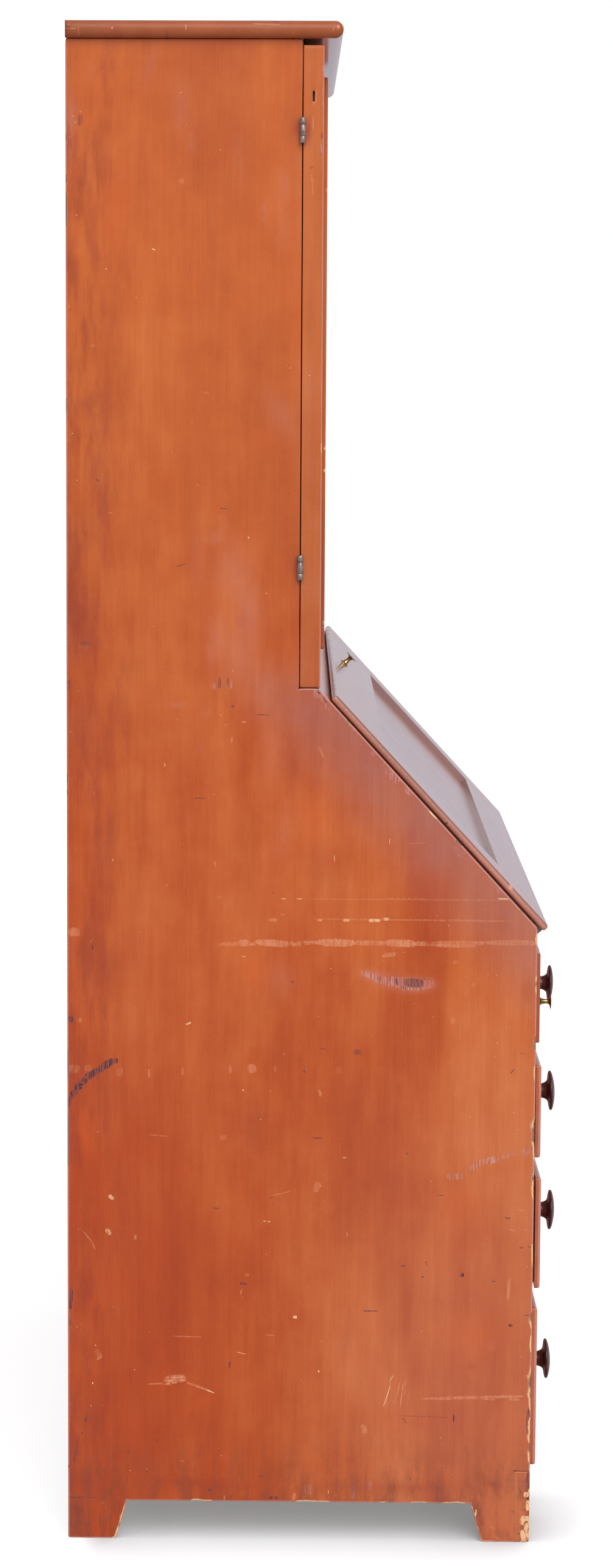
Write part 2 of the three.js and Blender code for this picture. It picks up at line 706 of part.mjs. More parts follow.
function buildLopers() {
  const front = CASE_DEPTH + LOPER_PROUD;
  const floor = TOP_ROW_FLOOR + FIT;
  const outline = [
    [BOARD_BACK + LOPER_BACK_SPACE, floor],
    [CASE_DEPTH + FIT, floor],
    [CASE_DEPTH + FIT, TOP_ROW_FACE_LOW],
    [front, TOP_ROW_FACE_LOW, LOPER_CORNER_RADIUS],
    [front, LOPER_TOP, LOPER_CORNER_RADIUS],
    [BOARD_BACK + LOPER_BACK_SPACE, LOPER_TOP],
  ];
  const knobZ = (TOP_ROW_FACE_LOW + LOPER_TOP) / 2 - LOPER_KNOB_DROP;
  const knobX = (LOPER_OUTER + LOPER_INNER) / 2;
  for (const { name, sign } of SIDES) {
    const bar = acrossDesk(outline, sorted(sign * LOPER_INNER, sign * LOPER_OUTER));
    const hole = turnedForwards(
      rod(SMALL_KNOB_SHANK_RADIUS + FIT, -SMALL_KNOB_SHANK_LENGTH - FIT, OVERRUN),
      ROUND_SIDES,
      sign * knobX,
      front,
      knobZ,
    );
    add(`loper_${name}`, cut(bar, hole), PAINTED);
    const knob = turnedForwards(smallKnobProfile(), KNOB_SIDES, sign * knobX, front, knobZ);
    add(`loper_knob_${name}`, knob, BRASS);
  }
}

// Knuckles of one hinge along its pin: a middle one and two at the ends, as shares of its length
function knuckleSpans(length) {
  const half = length / 2;
  const middle = (length * MIDDLE_KNUCKLE_SHARE) / 2;
  return {
    middle: [[-middle, middle]],
    ends: [
      [-half, -middle - KNUCKLE_GAP],
      [middle + KNUCKLE_GAP, half],
    ],
  };
}

// One leaf of a butt hinge. Its pin runs along local Z, its plate reaches towards +X, and the
// plate's faces lie at the two given Y. The end leaf carries the pin, the middle leaf turns on it.
function hingeLeaf({ length, radius, width, start, plateY, kind }) {
  const spans = knuckleSpans(length)[kind];
  const half = length / 2;
  const barrel = (r, [low, high]) =>
    new THREE.CylinderGeometry(r, r, high - low, ROUND_SIDES)
      .rotateX(Math.PI / 2)
      .translate(0, 0, (low + high) / 2);
  const plate = block([start, start + width], plateY, [-half, half]);
  const roots = spans.map((span) => block([0, start + SINK], plateY, span));
  const knuckles = spans.map((span) => barrel(radius, span));
  const leaf = joined(plate, ...roots, ...knuckles);
  if (kind === "ends") return joined(leaf, barrel(HINGE_PIN_RADIUS, [-half, half]));
  const bore = barrel(HINGE_PIN_RADIUS + HINGE_PIN_CLEARANCE, [-half, half]);
  return cut(leaf, bore);
}

// Door hinges: the case leaf lies in the side's front edge, the door leaf in the door's back.
// The right-hand ones are turned half round the pin, and their leaves change places.
function buildDoorHinges(doorGroups) {
  const gap = DOOR_SEAM / 2;
  const behind = [gap, gap + DOOR_HINGE_LEAF_THICKNESS];
  const ahead = [-gap - DOOR_HINGE_LEAF_THICKNESS, -gap];
  const sizes = {
    length: DOOR_HINGE_LENGTH,
    radius: DOOR_HINGE_RADIUS,
    width: DOOR_HINGE_LEAF_WIDTH,
    start: DOOR_PIN_OUTSIDE,
  };
  for (const { name, sign } of SIDES) {
    const place = (geometry, z) =>
      geometry
        .rotateZ(sign > 0 ? Math.PI : 0)
        .translate(sign * (HALF_WIDTH + DOOR_PIN_OUTSIDE), fromBack(BOOKCASE_DEPTH + gap), z);
    const [caseY, doorY] = sign > 0 ? [ahead, behind] : [behind, ahead];
    for (const { name: level, z } of DOOR_HINGE_HEIGHTS) {
      const caseLeaf = place(hingeLeaf({ ...sizes, plateY: caseY, kind: "ends" }), z);
      const doorLeaf = place(hingeLeaf({ ...sizes, plateY: doorY, kind: "middle" }), z);
      add(`door_hinge_case_${name}_${level}`, caseLeaf, IRON);
      add(`door_hinge_leaf_${name}_${level}`, doorLeaf, IRON, doorGroups[name]);
    }
  }
}

function buildDoors() {
  const groups = {};
  const height = [DOOR_FOOT, DOOR_TOP];
  const panelFront = DOOR_FRONT - DOOR_RECESS;
  const panelBack = panelFront - DOOR_PANEL_THICKNESS;
  for (const { name, sign } of SIDES) {
    const group = new THREE.Group();
    groups[name] = group;
    desk.add(group);
    const meeting = DOOR_MEETING_GAP / 2;
    const slab = board(sorted(sign * HALF_WIDTH, sign * meeting), [DOOR_BACK, DOOR_FRONT], height);
    const outer = HALF_WIDTH - DOOR_STILE;
    const inner = meeting + DOOR_STILE;
    const low = DOOR_FOOT + DOOR_BOTTOM_RAIL;
    const high = DOOR_TOP - DOOR_TOP_RAIL;
    const window = board(
      sorted(sign * inner, sign * outer),
      [DOOR_BACK - OVERRUN, DOOR_FRONT + OVERRUN],
      [low, high],
    );
    const groove = board(
      sorted(sign * (inner - GROOVE_DEPTH), sign * (outer + GROOVE_DEPTH)),
      [panelBack - FIT, panelFront + FIT],
      [low - GROOVE_DEPTH, high + GROOVE_DEPTH],
    );
    const mortises = DOOR_HINGE_HEIGHTS.map(({ z }) =>
      doorHingeMortise(sign, z, [
        DOOR_BACK - OVERRUN,
        DOOR_BACK + DOOR_HINGE_LEAF_THICKNESS + FIT,
      ]),
    );
    const slotDepth = (DOOR_BACK + DOOR_FRONT) / 2;
    const slotZ = DOOR_TOP - PEG_SLOT_FROM_TOP;
    const pegSlot = board(
      sorted(sign * (HALF_WIDTH + OVERRUN), sign * (HALF_WIDTH - PEG_SLOT_DEPTH)),
      [slotDepth - PEG_SLOT_WIDTH / 2, slotDepth + PEG_SLOT_WIDTH / 2],
      [slotZ - PEG_SLOT_HEIGHT / 2, slotZ + PEG_SLOT_HEIGHT / 2],
    );
    add(`door_${name}_frame`, cut(slab, window, groove, pegSlot, ...mortises), PAINTED, group);
    const tongue = GROOVE_DEPTH - FIT;
    const panel = board(
      sorted(sign * (inner - tongue), sign * (outer + tongue)),
      [panelBack, panelFront],
      [low - tongue, high + tongue],
    );
    add(`door_${name}_panel`, panel, PAINTED, group);
  }
  const strip = roundedFront(
    [-DOOR_MEETING_GAP / 2 - STRIP_WIDTH, -DOOR_MEETING_GAP / 2],
    [DOOR_FRONT + FIT, DOOR_FRONT + FIT + STRIP_THICKNESS],
    [DOOR_FOOT + STRIP_END_GAP, DOOR_TOP - STRIP_END_GAP],
    STRIP_EDGE_RADIUS,
  );
  add("meeting_strip", strip, PAINTED, groups.left);
  buildDoorHinges(groups);
}

const LID_HINGE_SIZES = {
  length: LID_HINGE_LENGTH,
  radius: LID_HINGE_RADIUS,
  width: LID_HINGE_LEAF_WIDTH,
  start: LID_HINGE_RADIUS + KNUCKLE_GAP,
};

function lidHingeX(sign) {
  return sign * (HALF_WIDTH - LID_HINGE_END_DISTANCE);
}

// Slots in the bed for a hinge's leaf and barrel
function lidHingeSeatsInBed(sign) {
  const x = lidHingeX(sign);
  const half = LID_HINGE_LENGTH / 2 + FIT;
  const reach = LID_HINGE_RADIUS + KNUCKLE_GAP;
  const leafBack = PIN_DEPTH - reach - LID_HINGE_LEAF_WIDTH - FIT;
  return [
    board(
      [x - half, x + half],
      [leafBack, PIN_DEPTH + OVERRUN],
      [WRITING_HEIGHT - LID_HINGE_LEAF_THICKNESS - FIT, WRITING_HEIGHT + OVERRUN],
    ),
    board(
      [x - half, x + half],
      [PIN_DEPTH - reach, PIN_DEPTH + OVERRUN],
      [WRITING_HEIGHT - reach, WRITING_HEIGHT + OVERRUN],
    ),
  ];
}

// A hinge leaf whose pin runs along X and whose plate reaches along local Y
function leafAlongX(sizes, x) {
  return hingeLeaf(sizes).applyMatrix4(Z_TO_X).translate(x, 0, 0);
}

// The lid in its own axes: X across, Y up the slope from the pins, Z out of its face
function buildLid() {
  const lid = new THREE.Group();
  lid.position.set(0, fromBack(PIN_DEPTH), WRITING_HEIGHT);
  lid.rotation.x = LID_SLOPE;
  desk.add(lid);

  const lipHalf = HALF_WIDTH - LID_END_INSET;
  const bodyHalf = INNER_HALF - LID_BODY_CLEARANCE;
  const lip = roundedPlate(
    [-lipHalf, lipHalf],
    [LID_BOTTOM_GAP, LID_LENGTH],
    [LID_LIP_BACK, LID_THICKNESS],
    LID_LIP_RADIUS,
  );
  const body = block(
    [-bodyHalf, bodyHalf],
    [LID_BOTTOM_GAP, LID_LENGTH - LID_BODY_TOP_SETBACK],
    [0, LID_LIP_BACK + SINK],
  );
  const windowHalf = lipHalf - LID_STILE;
  const low = LID_BOTTOM_RAIL;
  const high = LID_LENGTH - LID_TOP_RAIL;
  const window = block([-windowHalf, windowHalf], [low, high], [-OVERRUN, LID_THICKNESS + OVERRUN]);
  const panelTop = LID_THICKNESS - LID_RECESS;
  const panelBottom = panelTop - LID_PANEL_THICKNESS;
  const groove = block(
    [-windowHalf - GROOVE_DEPTH, windowHalf + GROOVE_DEPTH],
    [low - GROOVE_DEPTH, high + GROOVE_DEPTH],
    [panelBottom - FIT, panelTop + FIT],
  );
  const seats = SIDES.flatMap(({ sign }) => {
    const x = lidHingeX(sign);
    const half = LID_HINGE_LENGTH / 2 + FIT;
    const reach = LID_HINGE_RADIUS + KNUCKLE_GAP;
    return [
      block(
        [x - half, x + half],
        [-OVERRUN, reach + LID_HINGE_LEAF_WIDTH + FIT],
        [-OVERRUN, LID_HINGE_LEAF_THICKNESS + FIT],
      ),
      block([x - half, x + half], [-OVERRUN, reach], [-OVERRUN, reach]),
    ];
  });
  const knobY = LID_LENGTH - LID_KNOB_FROM_TOP;
  const knobHole = new THREE.CylinderGeometry(
    SMALL_KNOB_SHANK_RADIUS + FIT,
    SMALL_KNOB_SHANK_RADIUS + FIT,
    SMALL_KNOB_SHANK_LENGTH + FIT + OVERRUN,
    ROUND_SIDES,
  )
    .rotateX(Math.PI / 2)
    .translate(
      LID_KNOB_OFF_CENTRE,
      knobY,
      LID_THICKNESS + (OVERRUN - SMALL_KNOB_SHANK_LENGTH - FIT) / 2,
    );
  const frame = cut(joined(lip, body), window, groove, knobHole, ...seats);
  add("lid_frame", frame, LID_PAINT, lid);

  const tongue = GROOVE_DEPTH - FIT;
  const panel = block(
    [-windowHalf - tongue, windowHalf + tongue],
    [low - tongue, high + tongue],
    [panelBottom, panelTop],
  );
  add("lid_panel", panel, LID_PAINT, lid);

  const knobPoints = smallKnobProfile().map(([radius, reach]) => new THREE.Vector2(radius, reach));
  const knob = new THREE.LatheGeometry(knobPoints, KNOB_SIDES)
    .rotateX(Math.PI / 2)
    .translate(LID_KNOB_OFF_CENTRE, knobY, LID_THICKNESS);
  add("lid_knob", knob, BRASS, lid);

  for (const { name, sign } of SIDES) {
    const x = lidHingeX(sign);
    const lidLeaf = { ...LID_HINGE_SIZES, plateY: [0, LID_HINGE_LEAF_THICKNESS], kind: "middle" };
    add(`lid_hinge_leaf_${name}`, leafAlongX(lidLeaf, x), BRASS, lid);
    const bedLeaf = { ...LID_HINGE_SIZES, plateY: [-LID_HINGE_LEAF_THICKNESS, 0], kind: "ends" };
    const fixed = leafAlongX(bedLeaf, x).translate(0, fromBack(PIN_DEPTH), WRITING_HEIGHT);
    add(`lid_hinge_bed_${name}`, fixed, BRASS);
  }
}

// Pigeonholes: one shelf with upright boards above and below it, as a single comb
function buildGallery() {
  const half = INNER_HALF - FIT;
  const shelfLow = WRITING_HEIGHT + GALLERY_SHELF_RISE;
  const shelfHigh = shelfLow + GALLERY_BOARD;
  const top = LEDGE_UNDERSIDE - FIT;
  const floor = WRITING_HEIGHT + FIT;
  const uprights = (cells) =>
    Array.from({ length: cells - 1 }, (_, index) => -half + (2 * half * (index + 1)) / cells);
  const outline = [[-half, shelfLow]];
  for (const x of uprights(LOWER_CELLS))
    outline.push(
      [x - GALLERY_BOARD / 2, shelfLow],
      [x - GALLERY_BOARD / 2, floor],
      [x + GALLERY_BOARD / 2, floor],
      [x + GALLERY_BOARD / 2, shelfLow],
    );
  outline.push([half, shelfLow], [half, shelfHigh]);
  for (const x of uprights(UPPER_CELLS).reverse())
    outline.push(
      [x + GALLERY_BOARD / 2, shelfHigh],
      [x + GALLERY_BOARD / 2, top],
      [x - GALLERY_BOARD / 2, top],
      [x - GALLERY_BOARD / 2, shelfHigh],
    );
  outline.push([-half, shelfHigh]);
  add("pigeonhole_gallery", towardsFront(outline, [BOARD_BACK, GALLERY_FRONT]), PAINTED);

  const cellInner = half / LOWER_CELLS + GALLERY_BOARD / 2 + RUNNING_GAP;
  const cellOuter = INNER_HALF - RUNNING_GAP;
  const zLow = floor;
  const zHigh = shelfLow - RUNNING_GAP;
  const smallDrawerKnob = [
    [0, -SINK],
    [SMALL_DRAWER_KNOB_RADIUS * SMALL_DRAWER_NECK_SHARE, -SINK],
    ...SMALL_DRAWER_KNOB_SHARES.map(([radiusShare, reachShare]) => [
      SMALL_DRAWER_KNOB_RADIUS * radiusShare,
      SMALL_DRAWER_KNOB_LENGTH * reachShare,
    ]),
    [0, SMALL_DRAWER_KNOB_LENGTH],
  ];
  for (const { name, sign } of SIDES) {
    const [xLow, xHigh] = sorted(sign * cellInner, sign * cellOuter);
    const box = board([xLow, xHigh], [BOARD_BACK + RUNNING_GAP, GALLERY_FRONT], [zLow, zHigh]);
    const hollow = board(
      [xLow + SMALL_DRAWER_WALL, xHigh - SMALL_DRAWER_WALL],
      [BOARD_BACK + RUNNING_GAP + SMALL_DRAWER_WALL, GALLERY_FRONT - SMALL_DRAWER_FRONT],
      [zLow + SMALL_DRAWER_WALL, zHigh + OVERRUN],
    );
    const knob = turnedForwards(
      smallDrawerKnob,
      ROUND_SIDES,
      (xLow + xHigh) / 2,
      GALLERY_FRONT,
      (zLow + zHigh) / 2,
    );
    add(`small_drawer_${name}`, joined(cut(box, hollow), knob), PAINTED);
  }
}

buildSides();
buildTopAndBack();
buildCaseBoards();
buildSkirt();
buildDrawers();
buildLopers();
buildDoors();
buildLid();
buildGallery();

export default desk;
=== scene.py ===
"""Looks of a painted pine slant-front desk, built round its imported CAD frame.

Metres, +Z up, front towards -Y. The photographed side is the one at -X. Depths are counted
forwards from the back of the case, as in the part's source.
"""
import itertools
import json
import math

import bpy
import numpy as np
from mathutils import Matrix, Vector
from mathutils.geometry import delaunay_2d_cdt


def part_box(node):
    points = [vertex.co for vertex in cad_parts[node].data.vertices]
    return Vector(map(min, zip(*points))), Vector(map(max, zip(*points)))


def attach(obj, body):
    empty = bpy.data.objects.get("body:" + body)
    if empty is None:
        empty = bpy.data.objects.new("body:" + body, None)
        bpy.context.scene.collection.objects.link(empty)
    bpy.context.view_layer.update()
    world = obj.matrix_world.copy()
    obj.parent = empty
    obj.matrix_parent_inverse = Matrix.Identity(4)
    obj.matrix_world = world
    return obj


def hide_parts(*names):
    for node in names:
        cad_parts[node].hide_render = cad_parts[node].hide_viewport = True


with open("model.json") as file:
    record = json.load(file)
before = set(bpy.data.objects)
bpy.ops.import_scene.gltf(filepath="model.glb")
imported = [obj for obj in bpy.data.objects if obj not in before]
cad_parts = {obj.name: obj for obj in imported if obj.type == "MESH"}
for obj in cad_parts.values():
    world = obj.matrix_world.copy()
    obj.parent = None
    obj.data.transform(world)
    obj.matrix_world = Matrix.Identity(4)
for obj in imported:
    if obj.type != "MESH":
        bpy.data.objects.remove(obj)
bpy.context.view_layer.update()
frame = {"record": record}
bpy.context.scene.view_settings.view_transform = "Standard"

MM = 0.001
BACK_Y = 327.4 * MM
BODY_OF = {
    node: body
    for body, nodes in frame["record"]["behaviour"]["bodies"].items()
    for node in nodes
}
SIDE_SIGNS = {"left": -1, "right": 1}


# Camera

# Fitted to points measured in the photograph: place, the way it looks, and its lens in pixels
PHOTO_WIDTH, PHOTO_HEIGHT = 1007, 2576
CAMERA_PLACE = (-4.53086, BACK_Y - 0.29634, 1.60687)
CAMERA_YAW, CAMERA_PITCH, CAMERA_ROLL = 0.0143, -0.1074, 0.0043
FOCAL_PIXELS = 5129.447
PRINCIPAL_POINT = (410.84, 1099.09)
SENSOR = 36


def make_camera():
    """Looks along +X, turned by the yaw towards the back and by the pitch downwards."""
    data = bpy.data.cameras.new("camera")
    data.sensor_width = SENSOR
    data.lens = FOCAL_PIXELS * SENSOR / PHOTO_HEIGHT
    data.shift_x = (PHOTO_WIDTH / 2 - PRINCIPAL_POINT[0]) / PHOTO_HEIGHT
    data.shift_y = (PRINCIPAL_POINT[1] - PHOTO_HEIGHT / 2) / PHOTO_HEIGHT
    data.clip_end = 100
    look = np.array([
        math.cos(CAMERA_YAW) * math.cos(CAMERA_PITCH),
        math.sin(CAMERA_YAW) * math.cos(CAMERA_PITCH),
        math.sin(CAMERA_PITCH),
    ])
    level = np.array([math.sin(CAMERA_YAW), -math.cos(CAMERA_YAW), 0])
    upright = np.cross(level, look)
    right = level * math.cos(CAMERA_ROLL) + upright * math.sin(CAMERA_ROLL)
    up = upright * math.cos(CAMERA_ROLL) - level * math.sin(CAMERA_ROLL)
    matrix = np.eye(4)
    matrix[:3, :3] = np.stack([right, up, -look], axis=1)
    matrix[:3, 3] = CAMERA_PLACE
    camera = bpy.data.objects.new("camera", data)
    camera.matrix_world = matrix.T.tolist()
    bpy.context.scene.collection.objects.link(camera)
    bpy.context.scene.camera = camera


# Noise and closed skins
def value_noise(points, size, seed):
    """Smooth random heights from -1 to 1: seeded random values sit on a lattice with cells of
    the given size, and the eight round a point are blended by 3t^2 - 2t^3 along each axis."""
    cells = 32
    lattice = np.random.default_rng(seed).uniform(-1, 1, (cells,) * 3)
    scaled = points / size
    cell = np.floor(scaled).astype(int)
    t = scaled - cell
    t = t * t * (3 - 2 * t)
    total = np.zeros(len(points))
    for corner in itertools.product((0, 1), repeat=3):
        weight = np.where(corner, t, 1 - t).prod(axis=1)
        total += weight * lattice[tuple((cell + corner).T % cells)]
    return total


def layered_noise(points, size, seed):
    """Three layers of value noise, each with cells 2.4 times smaller and half as strong."""
    layers = [value_noise(points, size / 2.4**k, seed + k) / 2**k for k in range(3)]
    return sum(layers) / 1.75


def shell(verts, quads, caps, grain, wear=0, rim=0):
    """One closed skin: points, quads as rows of four, triangles as rows of three, and flat end
    faces as rows of points."""
    return {
        "verts": verts, "quads": quads, "triangles": np.zeros((0, 3), int), "caps": caps,
        "grain": grain, "wear": np.full(len(verts), wear, float),
        "rim": np.full(len(verts), rim, float),
    }


def outward(skin):
    """Turns a skin's faces round where its signed volume, the sum of the triple products
    of each fan triangle's corners over six, comes out negative."""
    quads = skin["quads"]
    fans = [quads[:, [0, 1, 2]], quads[:, [0, 2, 3]], skin["triangles"]]
    for cap in skin["caps"]:
        fans.append(np.stack([np.full(len(cap) - 2, cap[0]), cap[1:-1], cap[2:]], axis=1))
    a, b, c = (skin["verts"][np.concatenate(fans)[:, k]] for k in range(3))
    if (a * np.cross(b, c)).sum() < 0:
        skin["quads"], skin["triangles"] = quads[:, ::-1], skin["triangles"][:, ::-1]
        skin["caps"] = [cap[::-1] for cap in skin["caps"]]
    return skin


def moved(skin, matrix):
    """The skin taken through a 4 by 4 matrix; its grain stays as it was cut."""
    return {**skin, "verts": skin["verts"] @ matrix[:3, :3].T + matrix[:3, 3]}


def ring_quads(rings, count):
    """Quads between neighbouring closed rings: point i of ring k is number k * count + i."""
    k, i = np.meshgrid(np.arange(rings - 1), np.arange(count), indexing="ij")
    k, i = k.ravel(), i.ravel()
    after = (i + 1) % count
    return np.stack(
        [k * count + i, k * count + after, (k + 1) * count + after, (k + 1) * count + i], axis=1
    )


def piece(name, skins, node, finish):
    """Puts skins into one mesh object that rides on its node's body and stands for the node."""
    skins = [outward(skin) for skin in skins]
    starts = np.cumsum([0] + [len(skin["verts"]) for skin in skins])
    faces, smooth = [], []
    for start, skin in zip(starts, skins):
        flat = (skin["triangles"] + start).tolist()
        flat += [(cap + start).tolist() for cap in skin["caps"]]
        faces += (skin["quads"] + start).tolist() + flat
        smooth += [True] * len(skin["quads"]) + [False] * len(flat)
    mesh = bpy.data.meshes.new(name)
    mesh.from_pydata(np.concatenate([skin["verts"] for skin in skins]).tolist(), [], faces)
    mesh.polygons.foreach_set("use_smooth", smooth)
    for attribute in ("wear", "rim"):
        values = np.concatenate([skin[attribute] for skin in skins]).astype(np.float32)
        mesh.attributes.new(attribute, "FLOAT", "POINT").data.foreach_set("value", values)
    grain = np.concatenate([skin["grain"] for skin in skins]).astype(np.float32)
    mesh.attributes.new("grain", "FLOAT_VECTOR", "POINT").data.foreach_set("vector", grain.ravel())
    mesh.materials.append(FINISHES[finish])
    obj = bpy.data.objects.new(name, mesh)
    bpy.context.scene.collection.objects.link(obj)
    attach(obj, BODY_OF[node])
    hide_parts(node)
    return obj


# Boards and turned pieces
AXIS = {"x": 0, "y": 1, "z": 2}
SPREAD = np.array([1, 0.66, 0.42, 0.26, 0.14])  # shares of a reach, close to an arris
TURN_STEPS = 4  # in the quarter circle of an arris
CORNER_STEP = 2 * MM  # from a corner of an outline to the points next to it
CHIP_DEPTH = 0.4  # share of a chip's reach
CHIP_SOFTNESS = 0.3 * MM
RIM_REACH = 14 * MM


def edge_stations(thickness, ease_low, ease_high, reach, turns):
    """Stations round a board's edge, from one face over the edge to the other face, for each
    edge of its outline: inset, height, how far the normal points outwards and up, and the
    distances from the two arrises, which are 1 metre where they don't matter. Faces have
    stations at shares of the reach, and each arris is a quarter circle: inset r(1 - sin t),
    height r(1 - cos t)."""
    low, high = ease_low[None, :], ease_high[None, :]
    t = np.linspace(0, math.pi / 2, turns + 1)[:, None]
    sine, cosine = np.sin(t), np.cos(t)
    sine_back, cosine_back = sine[::-1], cosine[::-1]
    face = reach * SPREAD[:, None]
    room = thickness - low - high
    edge = np.minimum(reach, 0.45 * room) * SPREAD[::-1, None]
    face_back, edge_back = face[::-1], edge[::-1]
    bands = [
        (low + face, 0, 0, -1, face, 1),
        (low * (1 - sine), low * (1 - cosine), sine, -cosine, 0, 1),
        (0, low + edge, 1, 0, edge, room - edge),
        (0, thickness - high - edge_back, 1, 0, room - edge_back, edge_back),
        (high * (1 - sine_back), thickness - high * (1 - cosine_back), sine_back, cosine_back,
         1, 0),
        (high + face_back, thickness, 0, 1, 1, face_back),
    ]
    return np.concatenate([np.stack(np.broadcast_arrays(*band)) for band in bands], axis=1)


def slab(corners, low, high, axes, along, ease=1 * MM, reach=6 * MM, step=0.03, chips=None,
         seed=0, corner_ease=1 * MM, turns=TURN_STEPS):
    """A board cut to an outline, with eased and chipped arrises.

    Every station round the edge is one ring: each outline edge is shifted inwards by the
    station's inset, neighbouring edges meet where the shifted lines cross, and points stand
    2 mm from each crossing and at equal shares between. A chip of reach R takes
    d = 0.4 R (1 - s / R) off, measured against the normal, at a distance s from the arris.
    ease is one size, one (low, high) pair, or one such pair for each edge. axes says where
    outline a, outline b and the thickness go."""
    corners = np.asarray(corners, float)
    ease = np.broadcast_to(np.asarray(ease, float), (len(corners), 2))
    following = np.roll(corners, -1, axis=0)
    if (corners[:, 0] * following[:, 1] - corners[:, 1] * following[:, 0]).sum() < 0:
        corners, ease = corners[::-1], np.roll(ease[::-1], -1, axis=0)
        following = np.roll(corners, -1, axis=0)
    ahead = following - corners
    length = np.linalg.norm(ahead, axis=1)
    inward = np.stack([-ahead[:, 1], ahead[:, 0]], axis=1) / length[:, None]
    before = np.roll(inward, 1, axis=0)
    cosine = (inward * before).sum(axis=1)[:, None]
    by_before = (before - cosine * inward) / (1 - cosine**2)
    by_own = (inward - cosine * before) / (1 - cosine**2)

    counts = np.maximum(3, np.ceil(length / step).astype(int))
    edge = np.repeat(np.arange(len(corners)), counts)
    order = np.arange(len(edge)) - np.repeat(np.cumsum(counts) - counts, counts)
    close = np.minimum(CORNER_STEP / length, 1 / counts)[edge]
    share = close + (1 - 2 * close) * (order - 1) / (counts[edge] - 2)
    share = np.where(order == 0, 0, share)[:, None]
    after = (edge + 1) % len(corners)
    base = corners[edge] + (corners[after] - corners[edge]) * share

    thickness = high - low
    inset, height, out, up, from_low, from_high = edge_stations(
        thickness, ease[:, 0], ease[:, 1], reach, turns
    )
    at_corner = (
        corners
        + np.roll(inset, 1, axis=1)[:, :, None] * by_before
        + inset[:, :, None] * by_own
    )
    ring = at_corner[:, edge] + (at_corner[:, after] - at_corner[:, edge]) * share
    is_corner = order == 0
    height_here = height[:, edge]
    height_here[:, is_corner] = (height + np.roll(height, 1, axis=1))[:, edge[is_corner]] / 2
    inward_here = inward[edge].copy()
    inward_here[is_corner] = (by_before + by_own)[edge[is_corner]]

    # Outline corners are taken back too, by as much as a chip of corner_ease's reach
    from_corner = np.minimum(share[:, 0], 1 - share[:, 0]) * length[edge]
    blunt = CHIP_DEPTH * corner_ease * np.clip(1 - from_corner / corner_ease, 0, 1)
    blunt = blunt * np.clip(1 - inset[:, edge] / (2 * corner_ease), 0, 1)

    points = np.column_stack([base, np.zeros(len(base))])
    low_reach, high_reach = chips(points, seed) if chips else np.zeros((2, len(base)))
    wear, bite = np.zeros((2, *ring.shape[:2]))
    for chip_reach, distance in ((low_reach, from_low), (high_reach, from_high)):
        growth = np.clip(chip_reach - distance[:, edge], 0, None) / (chip_reach + CHIP_SOFTNESS)
        wear = np.maximum(wear, growth)
        bite = np.maximum(bite, CHIP_DEPTH * chip_reach * growth)
    ring = ring + (bite * out[:, edge] + blunt)[:, :, None] * inward_here
    height_here = height_here - bite * up[:, edge]

    verts = np.empty((ring.shape[0] * ring.shape[1], 3))
    for axis, values in zip(axes, (ring[:, :, 0], ring[:, :, 1], low + height_here)):
        verts[:, AXIS[axis]] = values.ravel()
    nearest = np.minimum(from_low, from_high)[:, edge]
    rim = np.clip(1 - nearest / RIM_REACH, 0, 1)
    count = ring.shape[1]
    caps = [np.arange(count)[::-1], (ring.shape[0] - 1) * count + np.arange(count)]
    turn = (AXIS[along] + np.arange(3)) % 3
    shift = np.random.default_rng(seed + 101).uniform(-3, 3, 3)
    skin = shell(
        verts, ring_quads(ring.shape[0], count), caps, verts[:, turn] + shift, wear.ravel(),
        rim.ravel(),
    )
    skin["turn"] = turn
    return skin


